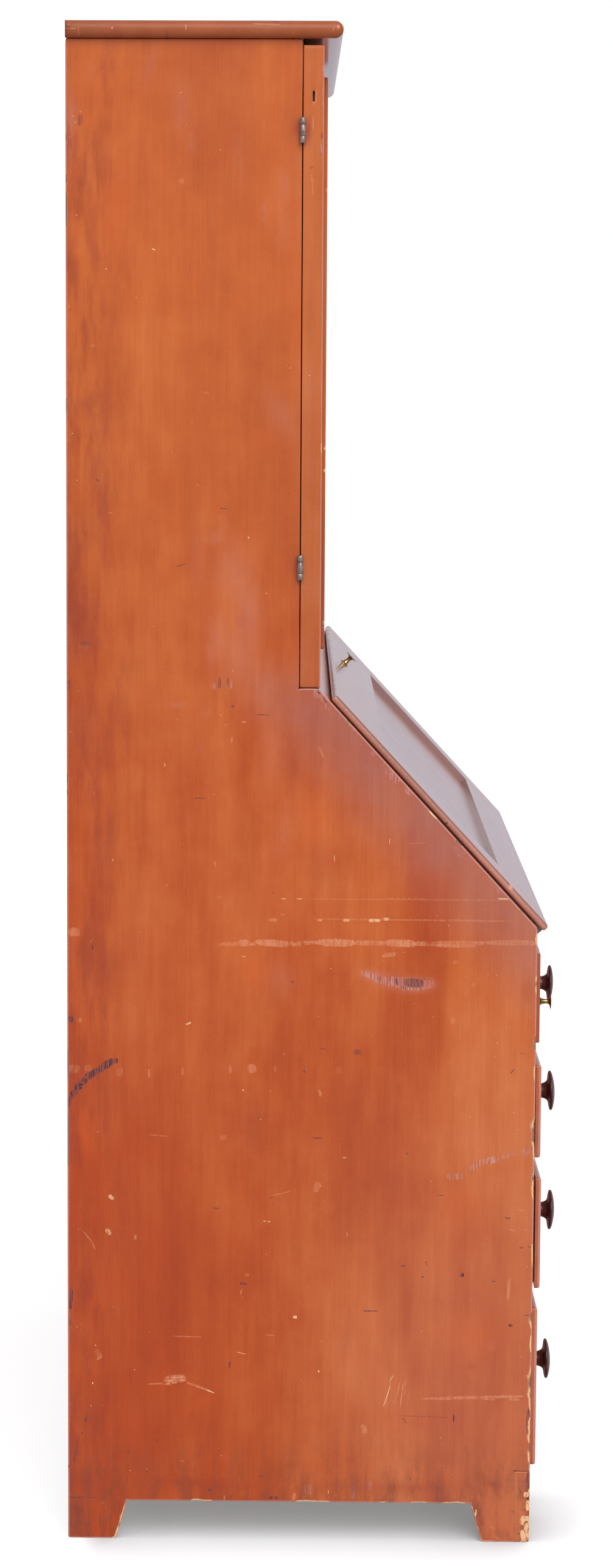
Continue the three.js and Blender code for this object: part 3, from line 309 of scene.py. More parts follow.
def filled(skin, cap, axes, spacing):
    """The skin with one flat end cut into triangles: rows of points at the given spacing, each
    second row shifted by half a step, are joined to the end's own ring by a Delaunay net."""
    ring = skin["caps"].pop(cap)
    a, b = (AXIS[axis] for axis in axes)
    level = skin["verts"][ring[0]]
    outline = skin["verts"][ring][:, [a, b]]
    low, high = outline.min(axis=0), outline.max(axis=0)
    rows = np.arange(low[1], high[1], spacing * 0.87)
    columns = np.arange(low[0], high[0], spacing)
    x = columns[None, :] + 0.5 * spacing * (np.arange(len(rows)) % 2)[:, None]
    grid = np.column_stack([x.ravel(), np.repeat(rows, len(columns))])
    into, out = outline - np.roll(outline, 1, axis=0), np.roll(outline, -1, axis=0) - outline
    corners = outline[np.abs(into[:, 0] * out[:, 1] - into[:, 1] * out[:, 0]) > 1e-7]
    ahead = np.roll(corners, -1, axis=0) - corners
    offset = grid[:, None, :] - corners
    along = np.clip((offset * ahead).sum(2) / (ahead**2).sum(1), 0, 1)
    distance = np.linalg.norm(offset - along[:, :, None] * ahead, axis=2).min(axis=1)
    above = corners[:, 1] > grid[:, None, 1]
    crosses = above != np.roll(above, -1, axis=1)
    rise = np.where(ahead[:, 1] == 0, 1, ahead[:, 1])
    meets = corners[:, 0] + (grid[:, None, 1] - corners[:, 1]) / rise * ahead[:, 0]
    inside = (crosses & (grid[:, None, 0] < meets)).sum(axis=1) % 2 == 1
    kept = inside & (distance > 0.6 * spacing)
    points = np.vstack([outline, grid[kept]])
    border = np.arange(len(ring))
    edges = np.stack([border, (border + 1) % len(ring)], axis=1)
    net = delaunay_2d_cdt([Vector(point) for point in points], edges.tolist(), [], 1, 1e-9)
    assert len(net[0]) == len(points)
    added = np.tile(level, (kept.sum(), 1))
    added[:, a], added[:, b] = grid[kept].T
    number = np.concatenate([ring, len(skin["verts"]) + np.arange(len(added))])
    shift = skin["grain"][ring[0]] - level[skin["turn"]]
    skin["triangles"] = number[np.array(net[2])][:, ::-1 if cap == 0 else 1]
    skin["verts"] = np.vstack([skin["verts"], added])
    skin["grain"] = np.vstack([skin["grain"], added[:, skin["turn"]] + shift])
    skin["wear"] = np.append(skin["wear"], np.zeros(len(added)))
    skin["rim"] = np.append(skin["rim"], np.clip(0.3 - distance[kept] / (40 * MM), 0, 1))
    return skin


def plank(low, high, along, thin=None, **details):
    """A rectangular board between two corner points, with its grain along one axis. Its two
    broad faces look along its thinnest side, or along the axis that thin names."""
    low, high = np.minimum(low, high), np.maximum(low, high)
    thin = thin or "xyz"[int(np.argmin(high - low))]
    a, b = [axis for axis in "xyz" if axis != thin]
    corners = [
        (low[AXIS[a]], low[AXIS[b]]), (high[AXIS[a]], low[AXIS[b]]),
        (high[AXIS[a]], high[AXIS[b]]), (low[AXIS[a]], high[AXIS[b]]),
    ]
    return slab(corners, low[AXIS[thin]], high[AXIS[thin]], a + b + thin, along, **details)


RUBBED = 0.07 * MM  # reach of the rubbing along every arris that takes chips


def light_chips(points, seed):
    """Here and there a small chip where layered noise rises over 0.5."""
    return [
        2.8 * MM * np.clip(layered_noise(points, 22 * MM, seed + k) - 0.5, 0, 1)
        for k in (0, 50)
    ]


def turned(profile, centre, direction, sides, tilt=0):
    """A solid of revolution: the profile's (reach, radius) points carried round a line that
    starts at the centre and points in the given direction, leaned by tilt about X."""
    profile = np.asarray(profile, float)
    angle = np.linspace(0, 2 * math.pi, sides, endpoint=False)
    reach, radius = profile[:, :1], profile[:, 1:]
    line = np.asarray(direction, float) / np.linalg.norm(direction)
    side = np.cross(line, (0, 0, 1)) if abs(line[2]) < 0.9 else np.cross(line, (1, 0, 0))
    side /= np.linalg.norm(side)
    other = np.cross(line, side)
    verts = (
        reach[:, :, None] * line
        + (radius * np.cos(angle))[:, :, None] * side
        + (radius * np.sin(angle))[:, :, None] * other
    ).reshape(-1, 3)
    if tilt:
        turn = np.array([
            [1, 0, 0],
            [0, math.cos(tilt), -math.sin(tilt)],
            [0, math.sin(tilt), math.cos(tilt)],
        ])
        verts = verts @ turn.T
    count = len(profile)
    caps = [np.arange(sides)[::-1], (count - 1) * sides + np.arange(sides)]
    return shell(verts + centre, ring_quads(count, sides), caps, verts)


SMOOTH_STEPS = 6


def through(points):
    """A smooth line through points: Catmull-Rom, whose slope at a point is half the step
    between its neighbours."""
    points = np.asarray(points, float)
    padded = np.vstack([2 * points[0] - points[1], points, 2 * points[-1] - points[-2]])
    a, b, c, d = (padded[k:len(padded) - 3 + k, None] for k in range(4))
    t = np.linspace(0, 1, SMOOTH_STEPS, endpoint=False)[None, :, None]
    line = 0.5 * (2 * b + (c - a) * t + (2 * a - 5 * b + 4 * c - d) * t**2
                  + (3 * b - a - 3 * c + d) * t**3)
    return np.vstack([line.reshape(-1, points.shape[1]), points[-1]])


# Finishes
def colour(red, green, blue):
    """A colour written as it shows on a screen, 0 to 255, made linear."""
    parts = [value / 255 for value in (red, green, blue)]
    return tuple(p / 12.92 if p <= 0.04045 else ((p + 0.055) / 1.055) ** 2.4 for p in parts) + (1,)


class Wire:
    """An output socket on which sums and products add Math nodes."""

    def __init__(self, tree, socket):
        self.tree, self.socket = tree, socket

    def maths(self, operation, *values, clamp=False):
        sockets = dict(enumerate(values))
        return self.tree.node("Math", {"operation": operation, "use_clamp": clamp}, sockets)

    def __add__(self, other):
        return self.maths("ADD", self, other)

    def __sub__(self, other):
        return self.maths("SUBTRACT", self, other)

    def __mul__(self, other):
        return self.maths("MULTIPLY", self, other)

    def __rsub__(self, other):
        return self.maths("SUBTRACT", other, self)

    __radd__, __rmul__ = __add__, __mul__

    def root(self):
        return self.maths("SQRT", self)

    def clipped(self):
        return self.maths("ADD", self, 0, clamp=True)

    def between(self, start, end):
        """0 where the value is at the start and 1 at the end, smoothly."""
        return self.tree.node(
            "MapRange",
            {"interpolation_type": "SMOOTHSTEP"},
            {"Value": self, "From Min": start, "From Max": end},
        )


class Tree:
    """The nodes of a material or a world, all made by one method."""

    def __init__(self, owner):
        self.owner = owner
        owner.use_nodes = True
        self.nodes, self.links = owner.node_tree.nodes, owner.node_tree.links
        self.nodes.clear()

    def node(self, kind, settings=None, sockets=None, output=0):
        """Adds a node, gives it its settings and then its sockets' values or links."""
        made = self.nodes.new("ShaderNode" + kind)
        for key, value in (settings or {}).items():
            if key == "stops":
                self.set_stops(made.color_ramp, value)
            else:
                setattr(made, key, value)
        for key, value in (sockets or {}).items():
            if isinstance(value, Wire):
                self.links.new(value.socket, made.inputs[key])
            else:
                made.inputs[key].default_value = value
        return Wire(self, made.outputs[output]) if len(made.outputs) else None

    @staticmethod
    def set_stops(ramp, stops):
        while len(ramp.elements) < len(stops):
            ramp.elements.new(0.5)
        for element, (position, shade) in zip(ramp.elements, stops):
            element.position, element.color = position, shade

    def place(self):
        return self.node("TexCoord", output="Object")

    def attribute(self, name, output="Fac"):
        return self.node("Attribute", {"attribute_name": name}, output=output)

    def scaled(self, vector, scale):
        return self.node("VectorMath", {"operation": "MULTIPLY"}, {0: vector, 1: scale})

    def reach(self, vector, direction):
        """How far a vector reaches in a direction: their dot product."""
        return self.node(
            "VectorMath", {"operation": "DOT_PRODUCT"}, {0: vector, 1: direction}, "Value"
        )

    def part(self, vector, axis):
        return self.node("SeparateXYZ", None, {0: vector}, axis)

    def noise(self, vector, scale, detail=2, roughness=0.5):
        """Noise with one scale, or with one for each axis."""
        if isinstance(scale, tuple):
            vector, scale = self.scaled(vector, scale), 1
        sockets = {"Vector": vector, "Scale": scale, "Detail": detail, "Roughness": roughness}
        return self.node("TexNoise", None, sockets)

    def cells(self, vector, scale):
        """Distances to the nearest of scattered points."""
        if isinstance(scale, tuple):
            vector, scale = self.scaled(vector, scale), 1
        sockets = {"Vector": vector, "Scale": scale}
        return self.node("TexVoronoi", {"feature": "F1"}, sockets, "Distance")

    def ramp(self, value, *stops):
        return self.node("ValToRGB", {"stops": stops}, {0: value})

    def mixed(self, factor, first, second):
        return self.node("Mix", {"data_type": "RGBA"}, {0: factor, 6: first, 7: second}, 2)

    def brightened(self, shade, factor):
        return self.node("VectorMath", {"operation": "SCALE"}, {0: shade, "Scale": factor})

    def surface(self, sockets, height, distance, strength):
        """The material itself: a shader over bumps."""
        bumps = {"Height": height, "Distance": distance, "Strength": strength}
        sockets["Normal"] = self.node("Bump", None, bumps)
        self.node("OutputMaterial", None, {0: self.node("BsdfPrincipled", None, sockets)})
        return self.owner


def finish_tree(name):
    """The empty node tree of a new material."""
    return Tree(bpy.data.materials.new(name))


def old_pine(tree, grain, mottle):
    """Bare pine under chipped paint: cream, tan and here and there dark with dirt."""
    fibres = tree.noise(grain, (14, 420, 420), 3, 0.6)
    return tree.ramp(
        fibres * 0.7 + mottle * 0.5, (0.3, colour(190, 118, 72)), (0.5, colour(220, 164, 108)),
        (0.72, colour(234, 194, 140)),
    )


def painted_wood(name, tones, satin=0.3, sheen=0.85, out=None, handled=0):
    """Pine under a thin orange-red wash, worn along its arrises, with a sheen at flat angles.

    Clouds, streaks and fine lines of tone come from noise drawn out along the grain, and painted
    light and shade make the wash lighter towards the front and high up and darker towards the back
    and low down. The wash is gone where the wear attribute, roughened by noise, says that a chip
    is, and dulled near arrises by the rim attribute. The tones attribute holds soft haze, stain
    and glow, and each stroke attribute holds a stroke's own coordinates p and q: the stroke covers
    the points where the root of p^4 + q^2 is below 1, with a ragged edge from noise. Where out,
    the direction out of the lid's face, is given, the frame's inner edges are grey with painted
    sheen and its outer ones streaked.
    handled is how far the case is dulled next to the slope."""
    wash = finish_tree(name)
    place, grain = wash.place(), wash.attribute("grain", "Vector")
    wear, rim = wash.attribute("wear"), wash.attribute("rim")
    clouds = wash.noise(grain, (1.5, 5, 5), 3, 0.5)
    streaks = wash.noise(grain, (4.5, 30, 30), 4, 0.6)
    lines = wash.noise(grain, (5, 330, 330), 3, 0.6)
    mottle = wash.noise(place, 16, 4, 0.6)
    fine = wash.noise(place, 420, 2, 0.6)
    aside, back, height = (wash.part(place, axis) for axis in "XYZ")
    normal = wash.node("TexCoord", output="Normal")

    def over(amount, *shade):
        """Lays a colour over the base by an amount."""
        nonlocal base
        base = wash.mixed(amount, base, colour(*shade))

    # The wash's own tones from noise, made darker towards the back by painted shade, then painted
    # light high up, painted shade low at the back, and the case dulled beside the slope
    tone = clouds * 0.5 + streaks * 0.28 + mottle * 0.17 - back * 0.22 + 0.03
    base = wash.ramp(tone, *zip((0.34, 0.45, 0.55, 0.67), tones))
    # Painted light: a paler honey tone higher up
    over(height.between(0.95, 1.6) * (0.35 + mottle * 0.5) * 0.55, 202, 112, 44)
    # Painted shade: a deeper tone low down at the back
    over(back.between(0, 0.32) * height.between(1.15, 0.4) * 0.55, 176, 62, 14)
    if handled:
        near_slope = wash.reach(place, LID_OUT).between(0.66, 0.775) * height.between(1.2, 1.1)
        over((near_slope * (0.4 + mottle * 1.2) * handled).clipped(), 148, 106, 104)
        # Painted light and sheen: the wash is paler and greyer low down towards the front
        over(back.between(0.1, -0.2) * height.between(0.8, 0.2) * 0.18, 200, 138, 114)
    shade = 0.98 + (lines - 0.5) * 0.2 + (streaks - 0.5) * 0.1 + (fine - 0.5) * 0.08
    # Painted light higher up and painted shade lower down
    shade = shade + height.between(1.2, 1.9) * 0.1 - height.between(1.1, 0.1) * 0.06
    base = wash.brightened(base, shade)

    soft = wash.attribute("tones", "Vector")
    haze, stain, glow = (
        (wash.part(soft, axis) * (0.55 + streaks * 0.9)).clipped() for axis in "XYZ"
    )
    over(stain * 0.75, 146, 52, 30)
    over(glow * 0.7, 204, 88, 24)
    over(haze * 0.3, 196, 134, 118)

    # Dulled arrises, a dark back edge, pale specks, dark nicks and smudged feet
    over((rim * 0.9 + mottle - 0.75).between(0.3, 1.1) * 0.3, 170, 96, 76)
    cloudy = wash.noise(place, (30, 30, 7), 4, 0.65).between(0.42, 0.66)
    over(back.between(0.2, 0.325) * cloudy * 0.6, 142, 50, 26)
    specks = (0.1 - wash.cells(place, 95)).between(0, 0.06)
    over(specks * wash.noise(place, 31, 1).between(0.6, 0.7) * 0.55, 234, 196, 144)
    nicks = (0.085 - wash.cells(place, (240, 240, 70))).between(0, 0.05)
    nicks = nicks * wash.noise(place, 5.5).between(0.55, 0.7)
    over(nicks * 0.6, 92, 44, 34)
    smudges = wash.noise(place, (44, 44, 15), 5, 0.7).between(0.4, 0.66)
    over(smudges * height.between(0.18, 0.01) * 0.7, 116, 58, 42)

    ragged = wash.noise(place, (300, 300, 170), 3, 0.7)
    patchy = wash.noise(place, (120, 220, 60), 3, 0.65)
    strokes = {}
    for kind in STROKE_KINDS:
        own = wash.attribute(f"stroke_{kind}", "Vector")
        along, across, strength = (wash.part(own, axis) for axis in "XYZ")
        along = along * along
        reach = (along * along + across * across).root() + (ragged - 0.5) * 0.9
        strokes[kind] = reach.between(1.02, 0.72) * strength
    dark, hatch = strokes["dark"], strokes["hatch"]
    over(strokes["pale"] * (0.35 + patchy.between(0.36, 0.6) * 0.65) * 0.62, 224, 150, 110)
    combed = wash.noise(place, (500, 500, 45), 2, 0.6)
    over(hatch * 0.3, 190, 120, 108)
    over(hatch * combed.between(0.5, 0.62) * 0.6, 200, 148, 130)
    over(hatch * combed.between(0.46, 0.36) * 0.6, 112, 62, 62)
    over(dark * 0.8, 124, 66, 60)
    over(dark * combed.between(0.49, 0.57) * 0.9, 54, 34, 44)
    bare = strokes["bare"] * (ragged * 0.5 + patchy * 0.5).between(0.4, 0.5)
    over(bare * 0.9, 236, 190, 138)

    if out:
        flat = wash.reach(normal, out)
        edge = flat.between(0.9, 0.5)
        outer = (aside * aside).between((LID_HALF - 6 * MM) ** 2, (LID_HALF - 3 * MM) ** 2)
        # Painted sheen: the frame's inner walls, which turn away from the lid's face, are greyed
        over(edge * (1 - outer) * 0.8, 140, 116, 114)
        streaked = (streaks * 0.5 + fine * 0.5).between(0.44, 0.56)
        over(edge * outer * (0.2 + streaked * 0.6), 198, 134, 112)
        rubbed = flat.between(0.15, 0.55) * flat.between(0.97, 0.8) * outer
        over(rubbed * (0.25 + mottle * 0.6), 98, 68, 72)
    dusty = wash.part(normal, "Z").between(0.8, 0.97)
    over(dusty * (0.3 + mottle * 0.6) * 0.6, 116, 88, 80)

    # Chips down to bare wood, dirty at the back, each with a pale fringe
    torn = (wear + (wash.noise(place, 420, 4, 0.75) - 0.5) * 1.1).between(0.24, 0.34)
    torn = torn * wear.between(0.19, 0.27)
    wood = old_pine(wash, grain, mottle)
    dirt = wash.noise(place, 24, 2, 0.6).between(0.5, 0.6) + back.between(0.3, 0.32)
    wood = wash.mixed(dirt.clipped() * 0.85, wood, colour(104, 62, 60))
    fringe = (wear + (fine - 0.5) * 0.3).between(0.02, 0.2)
    over(fringe * 0.55, 204, 146, 130)
    base = wash.mixed(torn, base, wood)

    rough = (satin + (mottle - 0.5) * 0.2 + (lines - 0.5) * 0.1 + torn * 0.35 + haze * 0.1
             + bare * 0.2)
    relief = (lines * 0.25 + streaks * 0.2 + mottle * 0.3 + fine * 0.06 - nicks - torn * 0.6
              - dark * 1.2 - bare * 0.3)
    flat_angle = wash.node("LayerWeight", output="Facing")
    return wash.surface({
        "Base Color": base, "Roughness": rough.clipped(), "Specular IOR Level": 0.4,
        "Coat Weight": flat_angle.between(0.62, 0.94) * sheen, "Coat Roughness": 0.15,
    }, relief, 0.5 * MM, 0.3)


def bare_wood(name):
    """Unpainted old pine: growth rings as noise drawn out along the grain, darkened by age."""
    wood = finish_tree(name)
    place, grain = wood.place(), wood.attribute("grain", "Vector")
    rings = wood.noise(grain, (0.9, 42, 42), 3, 0.5)
    lines = wood.noise(grain, (5, 380, 380), 3, 0.6)
    clouds = wood.noise(place, 5, 3, 0.6)
    base = wood.ramp(
        rings * 0.6 + clouds * 0.35 + lines * 0.2 - 0.07,
        (0.3, colour(142, 96, 58)), (0.5, colour(182, 132, 84)), (0.7, colour(206, 160, 108)),
    )
    stains = wood.noise(place, 11, 4, 0.65).between(0.6, 0.78)
    base = wood.mixed(stains * 0.35, base, colour(98, 64, 42))
    return wood.surface({
        "Base Color": base, "Roughness": 0.68 + (clouds - 0.5) * 0.25, "Specular IOR Level": 0.3,
    }, lines * 0.5 + rings * 0.4, 0.5 * MM, 0.4)


def polished_wood(name):
    """Dark red-brown turned wood under an old shine, with cloudy wear and faint lines of grain
    along the knob."""
    wood = finish_tree(name)
    place = wood.place()
    lines = wood.noise(place, (300, 30, 300), 3, 0.6)
    clouds = wood.noise(place, 70, 3, 0.6)
    base = wood.ramp(
        lines * 0.5 + clouds * 0.6 - 0.05,
        (0.3, colour(44, 22, 20)), (0.55, colour(72, 34, 30)), (0.8, colour(104, 52, 44)),
    )
    return wood.surface({
        "Base Color": base, "Roughness": 0.26 + (clouds - 0.5) * 0.25, "Specular IOR Level": 0.5,
    }, lines * 0.4 + clouds * 0.5, 0.3 * MM, 0.25)


def worn_metal(name, tones, smoothness, metallic=1.0):
    """Cast or wrought metal whose tone and roughness drift with two layers of noise."""
    metal = finish_tree(name)
    place = metal.place()
    clouds = metal.noise(place, 130, 3, 0.6)
    pits = metal.noise(place, 900, 2, 0.6)
    base = metal.ramp(clouds * 0.8 + pits * 0.3 - 0.05, *zip((0.3, 0.52, 0.75), tones))
    rough = smoothness + (clouds - 0.5) * 0.3
    return metal.surface({
        "Base Color": base, "Roughness": rough.clipped(), "Metallic": metallic,
    }, pits * 0.5 + clouds * 0.5, 0.2 * MM, 0.3)


def palette(*rows):
    """Colours from their values on a screen."""
    return [colour(*row) for row in rows]


STROKE_KINDS = ("pale", "bare", "dark", "hatch")
LID_SLOPE = math.radians(47.3)
LID_OUT = (0, -math.sin(LID_SLOPE), math.cos(LID_SLOPE))
LID_HALF = 490 * MM
# Each piece's finish, with tones from dark to pale
CASE_TONES = palette((166, 62, 16), (182, 77, 22), (195, 95, 38), (207, 114, 60))
LID_TONES = palette((142, 92, 76), (158, 106, 88), (172, 118, 98), (184, 130, 110))
TOP_TONES = palette((104, 37, 12), (118, 44, 15), (130, 51, 18), (143, 64, 25))
DOOR_TONES = palette((156, 60, 18), (170, 74, 26), (182, 88, 38), (194, 104, 56))
DRAWER_TONES = palette((150, 64, 32), (164, 77, 42), (176, 89, 52), (188, 104, 68))
BRASS_TONES = palette((96, 76, 46), (168, 142, 92), (214, 196, 150))
IRON_TONES = palette((112, 92, 86), (150, 132, 124), (186, 170, 160))
FINISHES = {
    "case": painted_wood("orange_wash", CASE_TONES, handled=0.42),
    "lid": painted_wood("lid_wash", LID_TONES, satin=0.2, sheen=0.66, out=LID_OUT),
    "top": painted_wood("top_wash", TOP_TONES, satin=0.42, sheen=1),
    "door": painted_wood("door_wash", DOOR_TONES),
    "drawer": painted_wood("drawer_wash", DRAWER_TONES),
    "pine": bare_wood("bare_pine"),
    "knob": polished_wood("dark_turned_wood"),
    "brass": worn_metal("old_brass", BRASS_TONES, 0.24),
    "iron": worn_metal("old_iron", IRON_TONES, 0.42, metallic=0.75),
}
# The record's slot that each finish belongs to
SLOT_OF = {
    **dict.fromkeys(("case", "top", "door", "drawer"), "painted_pine"), "lid": "lid_paint",
    "pine": "bare_pine", "knob": "turned_wood", "brass": "knob_brass", "iron": "hinge_iron",
}


# Marks on the wash

